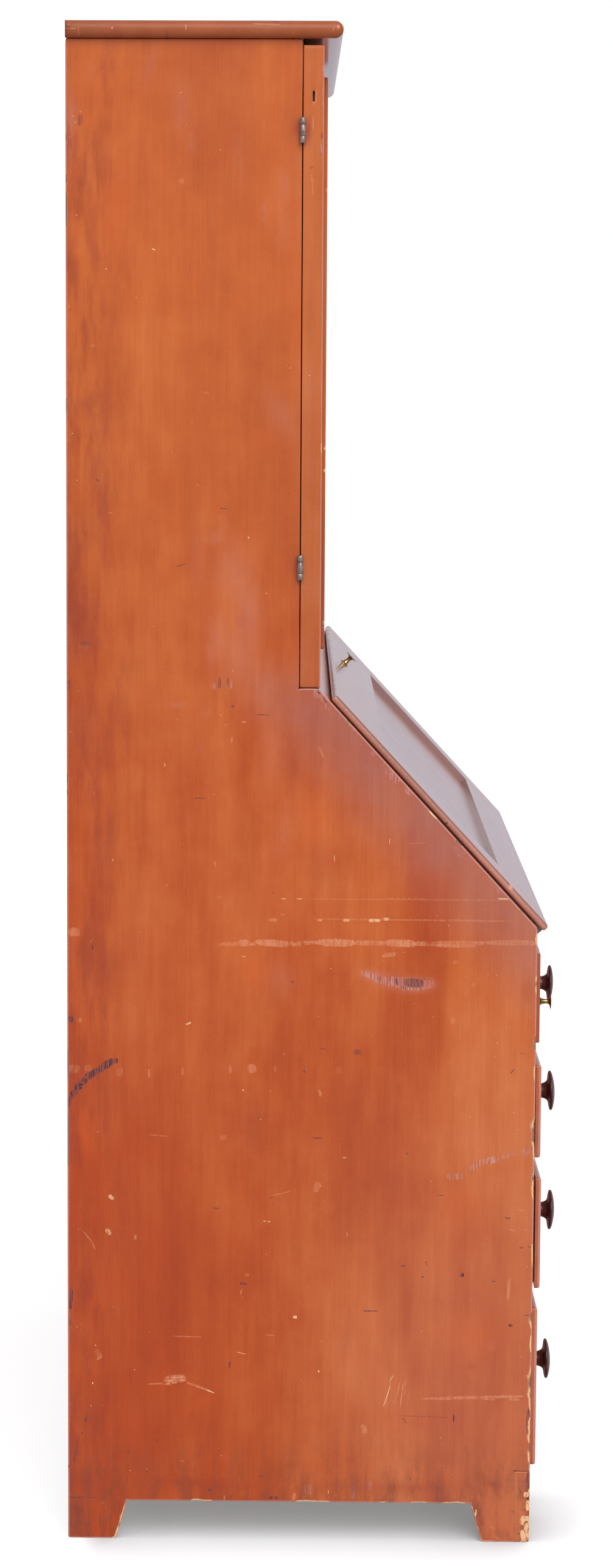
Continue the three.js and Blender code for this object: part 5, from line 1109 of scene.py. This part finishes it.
def make_boards():
    """The boards between the sides: top, backs, shelves, bottom, drawer dividers, ledge and
    skirt. A divider is a deck with a rail under its front."""
    low, high = corners_of("top_board")
    rounded, square = (10.5 * MM, 10.5 * MM), (1 * MM, 1 * MM)
    top = plank(
        low, high, "x", ease=[rounded, rounded, square, rounded], step=6 * MM, seed=71,
        corner_ease=5 * MM, turns=14,
    )
    mark_sides(piece("top", [top], "top_board", "top"))

    plain_boards("pine", "back_board_left", "back_board_right")
    plain_boards("pine", "bookshelf_lower", "bookshelf_upper")
    plain_boards("case", "loper_partition_left", "loper_partition_right")

    low, high = corners_of("bottom_board")
    foot, head, front = low[2] / MM, high[2] / MM, 595.5
    outline = [
        (REBATE, foot), (front, foot), (front, SKIRT_HEAD), (LOWER_FRONT, SKIRT_HEAD),
        (LOWER_FRONT, head), (REBATE, head),
    ]
    floor = across(outline, low[0], high[0], ease=0.5 * MM, reach=2 * MM)
    piece("bottom", [floor], "bottom_board", "pine")

    deck_height, rail_depth, rail_inset = 16 * MM, 60 * MM, 8 * MM
    for number in (1, 2, 3):
        node = f"drawer_divider_{number}"
        low, high = corners_of(node)
        deck = plank((low[0], low[1], high[2] - deck_height), high, "x", seed=number)
        rail = plank(
            (low[0] + rail_inset, low[1], low[2]),
            (high[0] - rail_inset, low[1] + rail_depth, high[2] - deck_height + 0.1 * MM),
            "x", seed=number + 5, ease=0.6 * MM,
        )
        piece(f"{node}_board", [deck, rail], node, "case")

    low, high = corners_of("desk_ledge")
    foot = LEDGE_HEAD - 20
    outline = [(REBATE, foot), (346.2, foot), (LEDGE_FRONT, LEDGE_HEAD), (REBATE, LEDGE_HEAD)]
    ledge = across(outline, low[0], high[0], ease=0.8 * MM, step=0.02, seed=4)
    piece("ledge", [ledge], "desk_ledge", "case")

    low, high = corners_of("front_skirt")
    half, arch_foot, arch_head, head = SIDE_HALF, 404, 389, 98
    outline = [
        (-half, 0), (-arch_foot, 0), (-arch_head, ARCH_HEAD), (arch_head, ARCH_HEAD),
        (arch_foot, 0), (half, 0), (half, head), (-half, head),
    ]
    eases = [(1.5 * MM, 0.02 * MM)] * len(outline)
    eases[0] = eases[4] = (5 * MM, 0.3 * MM)
    skirt = slab(
        [(x * MM, z * MM) for x, z in outline], low[1], high[1], "xzy", "x", step=5 * MM,
        chips=skirt_chips, seed=5, reach=8 * MM, ease=eases,
    )
    mark_sides(piece("skirt", [skirt], "front_skirt", "case"))


def across(outline, x_low, x_high, along="x", **details):
    """A board whose outline is given in depth and height, run across the desk."""
    return slab([(depth(d), z * MM) for d, z in outline], x_low, x_high, "yzx", along, **details)


def skirt_chips(points, seed):
    """Chips on the skirt board's front, strong at the ends, which end the case's front arris."""
    from_end = np.abs(np.abs(points[:, 0]) - SIDE_HALF * MM)
    near_end = np.clip(1 - from_end / (20 * MM), 0, 1)
    noise = np.clip(layered_noise(points, 24 * MM, seed) - 0.15, 0, 1)
    return [(2 + 4 * near_end) * MM * noise, np.zeros(len(points))]


# Drawers, lopers and knobs
KNOB_SHARES = [
    (0.45, 0), (0.43, 0.06), (0.38, 0.2), (0.365, 0.34), (0.4, 0.467), (0.445, 0.556),
    (0.512, 0.62), (0.64, 0.66), (0.8, 0.685), (0.93, 0.712), (0.985, 0.75), (0.993, 0.79),
    (0.955, 0.84), (0.82, 0.893), (0.56, 0.953), (0.3, 0.988), (0.03, 1),
]
SMALL_KNOB_SHARES = [
    (0.66, 0), (0.64, 0.05), (0.47, 0.14), (0.38, 0.27), (0.31, 0.45), (0.3, 0.62), (0.36, 0.77),
    (0.5, 0.84), (0.72, 0.89), (1, 0.94), (0.97, 0.965), (0.6, 0.99), (0.05, 1),
]
# How far each drawer's knobs lean, in degrees, with their tops forwards
KNOB_LEANS = {"1": 1.8, "2": -1.5, "3": 1.7, "4": -0.7}


def knob_skin(shares, centre, direction, radius, length, tilt=0, sides=64):
    """A turned knob: a smooth line through its shares of radius and length."""
    line = through(shares)
    reach = np.concatenate([[-1.5 * MM], line[:, 1] * length])
    radii = np.concatenate([[shares[0][0] * radius], line[:, 0] * radius])
    return turned(np.stack([reach, radii], axis=1), centre, direction, sides, tilt)


def front_knob(name, node, shares, face, finish, spare=0, lean=0):
    """A knob that points forwards from a face and fills its node's box, less what it spares."""
    low, high = corners_of(node)
    centre = (low + high) / 2
    centre[1] = face
    skin = knob_skin(
        shares, centre, (0, -1, 0), radius=(high[2] - low[2]) / 2,
        length=face - low[1] - spare, tilt=math.radians(lean),
    )
    piece(name, [skin], node, finish)


def make_drawer(name):
    """A lipped front with a block behind it, a tray and two knobs. The first drawer stands
    between the lopers, so its block is narrower."""
    node, box = f"drawer_{name}_front", f"drawer_{name}_box"
    low, high = corners_of(node)
    lip_back = low[1] + 7.4 * MM
    lip = plank(
        low, (high[0], lip_back, high[2]), "x", thin="y", ease=(3.2 * MM, 0.3 * MM),
        step=5 * MM, chips=front_chips, seed=80 + int(name), reach=5 * MM,
    )
    half, head_gap, foot_gap = (429.6, 3.4, 4.3) if name == "1" else (477.2, 4.8, 4.3)
    block = plank(
        (-half * MM, lip_back - 0.5 * MM, low[2] + foot_gap * MM),
        (half * MM, high[1], high[2] - head_gap * MM), "x", thin="y", ease=0.4 * MM,
    )
    piece(f"drawer_{name}_face", [lip, block], node, "drawer")
    tray = tray_skins(*corners_of(box), wall=12 * MM, floor=8 * MM)
    piece(f"drawer_{name}_tray", tray, box, "pine")
    for side, sign in SIDE_SIGNS.items():
        front_knob(
            f"drawer_{name}_pull_{side}", f"drawer_{name}_knob_{side}", KNOB_SHARES, low[1],
            "knob", spare=0.8 * MM, lean=KNOB_LEANS[name] if sign < 0 else 0,
        )


def tray_skins(low, high, wall, floor):
    """A drawer's box without a front: two sides, a back and a bottom between them."""
    left, right = low[0] + wall, high[0] - wall
    back, base = high[1] - wall, low[2] + floor
    return [
        plank(low, (left, high[1], high[2]), "y", seed=1, ease=0.6 * MM),
        plank((right, low[1], low[2]), high, "y", seed=2, ease=0.6 * MM),
        plank((left, back, base), (right, high[1], high[2]), "x", seed=3, ease=0.6 * MM),
        plank((left, low[1], low[2]), (right, high[1], base), "x", seed=4),
    ]


def make_lopers():
    """The bars that carry the open lid, each with a lip below its front and a small knob."""
    back, lip_back, foot, lip_foot, head = 74.3, 616.8, 679.4, 675.1, 795.3
    for side, sign in SIDE_SIGNS.items():
        low, high = corners_of(f"loper_{side}")
        front = (BACK_Y - low[1]) / MM
        outline = [
            (back, foot), (lip_back, foot), (lip_back, lip_foot), (front, lip_foot),
            (front, head), (back, head),
        ]
        bar = across(outline, low[0], high[0], "y", step=6 * MM, chips=light_chips,
                     seed=90 + sign, ease=0.8 * MM, reach=0.9 * MM)
        piece(f"loper_{side}_bar", [bar], f"loper_{side}", "drawer")
        front_knob(
            f"loper_{side}_pull", f"loper_knob_{side}", SMALL_KNOB_SHARES, low[1], "brass"
        )


# Doors and hinges

# The slot in the outer edge of each door: its middle and half its sizes
SLOT_FRONT, SLOT_Z = 316.8, 1906.1
SLOT_HALF_DEPTH, SLOT_HALF_HEIGHT = 1.6, 6.5
DOOR_HINGE_Z = {"lower": 1304.6, "upper": 1863.1}
DOOR_PIN = (-504.3, 303)  # X and depth


def barrel(radius, low, high, centre, direction):
    """A knuckle: a cylinder with rounded rims."""
    rim = 0.3 * MM
    profile = [(low, radius - rim), (low + 0.4 * rim, radius - 0.4 * rim), (low + rim, radius),
               (high - rim, radius), (high - 0.4 * rim, radius - 0.4 * rim), (high, radius - rim)]
    return turned(profile, centre, direction, 32)


def make_doors():
    """Framed doors with a panel each, built for the side at -X, and the strip where they meet."""
    for side, sign in SIDE_SIGNS.items():
        low, high = corners_of(f"door_{side}_frame")
        outer, inner = -SIDE_HALF * MM, -0.8 * MM
        stile, top_rail, foot_rail = 76 * MM, 82 * MM, 96 * MM
        left, right = outer + stile, inner - stile
        front, back, foot, head = low[1], high[1], low[2], high[2]
        worn = {"chips": front_chips, "step": 5 * MM, "ease": 1 * MM}
        # The outer stile is three layers, and the middle one leaves a slot for a peg open
        slot_low = (SLOT_Z - SLOT_HALF_HEIGHT) * MM
        slot_high = (SLOT_Z + SLOT_HALF_HEIGHT) * MM
        slot_end = outer + 14 * MM
        middle_front = depth(SLOT_FRONT + SLOT_HALF_DEPTH)
        middle_back = depth(SLOT_FRONT - SLOT_HALF_DEPTH)
        notched = [
            (outer, foot), (left, foot), (left, head), (outer, head),
            (outer, slot_high), (slot_end, slot_high), (slot_end, slot_low), (outer, slot_low),
        ]
        layers = [
            plank((outer, front, foot), (left, middle_front, head), "z", thin="y", seed=21,
                  chips=front_chips, step=5 * MM, ease=(1 * MM, 0.02 * MM)),
            slab(notched, middle_front, middle_back, "xzy", "z", ease=0.02 * MM, seed=21,
                 reach=0.8 * MM, step=5 * MM),
            plank((outer, middle_back, foot), (left, back, head), "z", thin="y", seed=21,
                  step=5 * MM, ease=(0.02 * MM, 1 * MM)),
        ]
        boards = [
            plank((right, front, foot), (inner, back, head), "z", seed=22, **worn),
            plank((left, front, head - top_rail), (right, back, head), "x", seed=23, **worn),
            plank((left, front, foot), (right, back, foot + foot_rail), "x", seed=24, **worn),
        ]
        skins = mirrored(layers + boards, sign)
        mark_sides(piece(f"door_{side}_boards", skins, f"door_{side}_frame", "door"))
        plain_boards("door", f"door_{side}_panel")
        for level, z in DOOR_HINGE_Z.items():
            make_door_hinge(side, sign, level, z * MM)
    low, high = corners_of("meeting_strip")
    strip = plank(low, high, "z", thin="y", ease=(2.4 * MM, 0.5 * MM), step=4 * MM,
                  chips=strip_chips, seed=29, reach=5 * MM)
    piece("strip", [strip], "meeting_strip", "door")


def strip_chips(points, seed):
    """Splintered arrises on the meeting strip, worst near its foot."""
    low_down = np.clip(1 - (points[:, 1] - 1150 * MM) / (120 * MM), 0, 1)
    return [
        (2 + 8 * low_down) * MM
        * np.clip(layered_noise(points, 16 * MM, seed + k) - 0.6 + 0.35 * low_down, 0, 1)
        for k in (0, 40)
    ]


PIN_RADIUS, KNUCKLE_GAP = 1.3 * MM, 0.4 * MM
PROUD = 0.15 * MM  # how far a leaf reaches past the board's surface


def hinge_half(outer, faces, pin, axis, corner, half, middle, radius, leaf, neck):
    """One leaf of a hinge with three knuckles: with the outer two and the pin, or with the middle
    one. corner gives the place of a point along the pin, away from it and on one of the leaf's
    two faces. half and middle are half the hinge's and half the middle knuckle's length, leaf is
    where the leaf starts and ends, seen from the pin, and neck is how far the strips that join it
    to its knuckles reach."""
    direction = np.eye(3)[AXIS[axis]]
    details = {"thin": "y" if axis == "z" else "z", "ease": 0.2 * MM, "reach": 0.5 * MM}
    skins = [plank(corner(-half, leaf[0], faces[0]), corner(half, leaf[1], faces[1]), axis,
                   **details)]
    inside = middle + KNUCKLE_GAP
    for low, high in [(-half, -inside), (inside, half)] if outer else [(-middle, middle)]:
        skins.append(barrel(radius, low, high, pin, direction))
        skins.append(plank(corner(low, 0, faces[0]), corner(high, neck, faces[1]), axis,
                           **details))
    if outer:
        skins.append(barrel(PIN_RADIUS, -half, half, pin, direction))
    return skins


def make_door_hinge(side, sign, level, z):
    """Two leaves and a pin. Built for the side at -X."""
    x, y = DOOR_PIN[0] * MM, depth(DOOR_PIN[1])
    thick, seam = 1.6 * MM, 0.6 * MM
    for kind, faces in (
        ("case", (y + seam - PROUD, y + seam + thick)),
        ("leaf", (y - seam - thick, y - seam + PROUD)),
    ):
        skins = hinge_half(
            kind == "case", faces, (x, y, z), "z",
            lambda along, away, face: (x + away, face, z + along), half=16 * MM,
            middle=7.04 * MM, radius=4 * MM, leaf=(4.3 * MM, 22.3 * MM), neck=5 * MM,
        )
        node = f"door_hinge_{kind}_{side}_{level}"
        piece(f"{node}_parts", mirrored(skins, sign), node, "iron")


# The lid
LID_PLACE = np.eye(4)
LID_PLACE[:3, :3] = [
    [1, 0, 0],
    [0, math.cos(LID_SLOPE), -math.sin(LID_SLOPE)],
    [0, math.sin(LID_SLOPE), math.cos(LID_SLOPE)],
]
BED_FRONT = 616.7
LID_PLACE[:3, 3] = (0, depth(BED_FRONT), 817.8 * MM)
LID_HINGE_X = 350 * MM


def make_lid():
    """Boards in the lid's own axes (X, up the slope, out of the face), then turned to lie on
    the slope. Each has a lip and a narrower body below it. The leaf of a hinge lies on the lid's
    inner face and its bed leaf lies level."""
    foot, head = 0.8 * MM, 416 * MM
    body_head = head - 8 * MM
    lip, body, stile = LID_HALF, 476.5 * MM, 84 * MM
    window, low_rail, high_rail = lip - stile, 92 * MM, head - 98 * MM
    t_lip, t_face = 12 * MM, 22 * MM
    full, flat = (4.4 * MM, 4.4 * MM), (0.05 * MM, 1 * MM)
    worn = {"chips": light_chips, "step": 5 * MM, "thin": "z", "reach": 6 * MM}

    lips, bodies = [], []
    for seed, x_low, x_high, up_low, up_high, along, ease in (
        (41, -lip, -window, foot, head, "y", [full, flat, full, full]),
        (42, window, lip, foot, head, "y", [full, full, full, flat]),
        (43, -window, window, high_rail, head, "x", [flat, flat, full, flat]),
        (44, -window, window, foot, low_rail, "x", [full, flat, flat, flat]),
    ):
        lips.append(plank((x_low, up_low, t_lip), (x_high, up_high, t_face), along, ease=ease,
                          seed=seed, **worn))
        bodies.append(plank(
            (max(x_low, -body), up_low, 0),
            (min(x_high, body), min(up_high, body_head), t_lip + 0.1 * MM), along, thin="z",
            seed=seed,
        ))
    skins = [moved(skin, LID_PLACE) for skin in lips + bodies]
    piece("lid_boards", skins, "lid_frame", "lid")
    groove = 7.7 * MM
    panel = plank(
        (-window - groove, low_rail - groove, 3.6 * MM),
        (window + groove, high_rail + groove, 13 * MM), "x", thin="z", seed=45,
    )
    piece("lid_field", [moved(panel, LID_PLACE)], "lid_panel", "lid")

    turn, origin = LID_PLACE[:3, :3], LID_PLACE[:3, 3]
    seat = turn @ [90 * MM, head - 28.6 * MM, t_face] + origin
    knob = knob_skin(
        SMALL_KNOB_SHARES, seat, turn @ [0, 0, 1], radius=10.1 * MM, length=15.8 * MM
    )
    piece("lid_pull", [knob], "lid_knob", "brass")

    start, end, thick = 3.8 * MM, 3.8 * MM + 26 * MM, 2 * MM
    for side, sign in SIDE_SIGNS.items():
        x = sign * LID_HINGE_X
        for kind, faces in (("leaf", (-PROUD, thick)), ("bed", (-thick, PROUD))):
            skins = hinge_half(
                kind == "bed", faces, (x, 0, 0), "x",
                lambda along, away, face: (x + along, away, face), half=30 * MM,
                middle=13.2 * MM, radius=3.4 * MM, leaf=(start, end), neck=start + 1 * MM,
            )
            place = LID_PLACE.copy()
            if kind == "bed":
                place[:3, :3] = np.eye(3)
            node = f"lid_hinge_{kind}_{side}"
            piece(f"{node}_parts", [moved(skin, place) for skin in skins], node, "brass")


# Writing bed and gallery
def make_bed():
    """The bed's top layer has a notch at each hinge for the knuckles."""
    low, high = corners_of("writing_bed")
    split = high[2] - 3.8 * MM
    lower = plank(low, (high[0], high[1], split), "x", thin="z", step=0.02,
                  ease=(0.8 * MM, 0.02 * MM), seed=51)
    front, notch = low[1], depth(BED_FRONT - 3.8)
    outline = [(low[0], front)]
    for x in (-LID_HINGE_X, LID_HINGE_X):
        a, b = x - 30.3 * MM, x + 30.3 * MM
        outline += [(a, front), (a, notch), (b, notch), (b, front)]
    outline += [(high[0], front), (high[0], high[1]), (low[0], high[1])]
    upper = slab(outline, split, high[2], "xyz", "x", step=0.02, reach=0.8 * MM,
                 ease=(0.02 * MM, 0.6 * MM), seed=51)
    piece("bed", [lower, upper], "writing_bed", "case")


def make_gallery():
    """Five pigeonholes over three wider spaces, of which the outer two hold small drawers."""
    low, high = corners_of("pigeonhole_gallery")
    half, board = high[0], 11 * MM
    shelf_low = 909.8 * MM
    skins = [plank((-half, low[1], shelf_low), (half, high[1], shelf_low + board), "x", seed=61)]
    for cells, bottom, top in ((3, low[2], shelf_low), (5, shelf_low + board, high[2])):
        for number in range(1, cells):
            x = -half + 2 * half * number / cells
            skins.append(plank(
                (x - board / 2, low[1] + 0.5 * MM, bottom - 0.5 * MM * (cells == 5)),
                (x + board / 2, high[1], top + 0.5 * MM * (cells == 3)), "z", seed=number + cells,
            ))
    piece("gallery", skins, "pigeonhole_gallery", "case")

    shares = [(0.5, 0), (0.42, 0.4), (0.7, 0.52), (1, 0.7), (0.9, 0.92), (0.05, 1)]
    for side in SIDE_SIGNS:
        node = f"small_drawer_{side}"
        low, high = corners_of(node)
        front = depth(250.3)
        box_low = np.array([low[0], front, low[2]])
        skins = tray_skins(box_low + [0, 11 * MM, 0], high, wall=8 * MM, floor=8 * MM)
        skins.append(plank(box_low, (high[0], front + 12 * MM, high[2]), "x", thin="y", seed=7))
        centre = np.array([(low[0] + high[0]) / 2, front, (low[2] + high[2]) / 2])
        skins.append(
            knob_skin(shares, centre, (0, -1, 0), radius=9 * MM, length=14 * MM, sides=32)
        )
        piece(f"{node}_parts", skins, node, "case")


# Light and floor
# Painted shadow: the grey of the floor's glow by how open a point of it lies
FLOOR_SHADOW_GREYS = {0.06: 0.27, 0.42: 0.32, 0.6: 0.55, 0.92: 1}  # by how open a point of it lies
FLOOR_REACH = 60


def make_floor():
    """A white floor: part of what the camera sees of it is glow, so shade on it stays pale. Next
    to the desk's near side the glow darkens as less air is open round a point: a painted shadow."""
    floor = finish_tree("floor")
    seen = floor.node("LightPath", output="Is Camera Ray")
    open_air = floor.node("AmbientOcclusion", None, {"Distance": 0.15}, "AO")
    place = floor.place()
    # 1 under the desk's far part and behind it, where the glow stays white, with no painted shadow
    away = 1 - floor.part(place, "X").between(-0.28, -0.36)
    away = (away + floor.part(place, "Y").between(0.28, 0.325)).clipped()
    # The glow's grey is a painted shadow, by how open each point lies
    pale = floor.ramp(
        open_air, *((share, (grey,) * 3 + (1,)) for share, grey in FLOOR_SHADOW_GREYS.items())
    )
    pale = floor.mixed(away, pale, (1, 1, 1, 1))
    glow = floor.node("Emission", None, {"Color": pale, "Strength": 1})
    shade = floor.mixed(seen, (0.55, 0.55, 0.6, 1), (1.6, 1.6, 1.6, 1))
    matte = floor.node("BsdfDiffuse", None, {"Color": shade})
    mixed = floor.node("MixShader", None, {0: seen * 0.75, 1: matte, 2: glow})
    floor.node("OutputMaterial", None, {0: mixed})
    mesh = bpy.data.meshes.new("floor")
    corners = [(x, y, 0) for x, y in ((-1, -1), (1, -1), (1, 1), (-1, 1))]
    mesh.from_pydata((np.array(corners) * FLOOR_REACH).tolist(), [], [(0, 1, 2, 3)])
    mesh.materials.append(floor.owner)
    obj = bpy.data.objects.new("floor", mesh)
    bpy.context.scene.collection.objects.link(obj)


def make_lights():
    """A white room, pale grey for what it lights and mirrors, and one large soft lamp."""
    world = bpy.data.worlds.new("studio")
    bpy.context.scene.world = world
    studio = Tree(world)
    seen = studio.node("LightPath", output="Is Camera Ray")
    shade = studio.mixed(seen, (0.6, 0.6, 0.66, 1), (1, 1, 1, 1))
    background = studio.node("Background", None, {"Color": shade, "Strength": 1})
    studio.node("OutputWorld", None, {0: background})

    lamp = bpy.data.lights.new("key", "SUN")
    lamp.energy, lamp.angle = 2.2, math.radians(50)
    obj = bpy.data.objects.new("key", lamp)
    # The lamp stands to the left, a little to the front and above
    back = np.array([-0.75, -0.25, 0.6])
    back /= np.linalg.norm(back)
    right = np.cross((0, 0, 1), back)
    right /= np.linalg.norm(right)
    matrix = np.eye(4)
    matrix[:3, :3] = np.stack([right, np.cross(back, right), back], axis=1)
    obj.matrix_world = matrix.T.tolist()
    bpy.context.scene.collection.objects.link(obj)


make_camera()
make_lights()
make_floor()
make_sides()
make_boards()
make_bed()
for drawer in KNOB_LEANS:
    make_drawer(drawer)
make_lopers()
make_doors()
make_lid()
make_gallery()
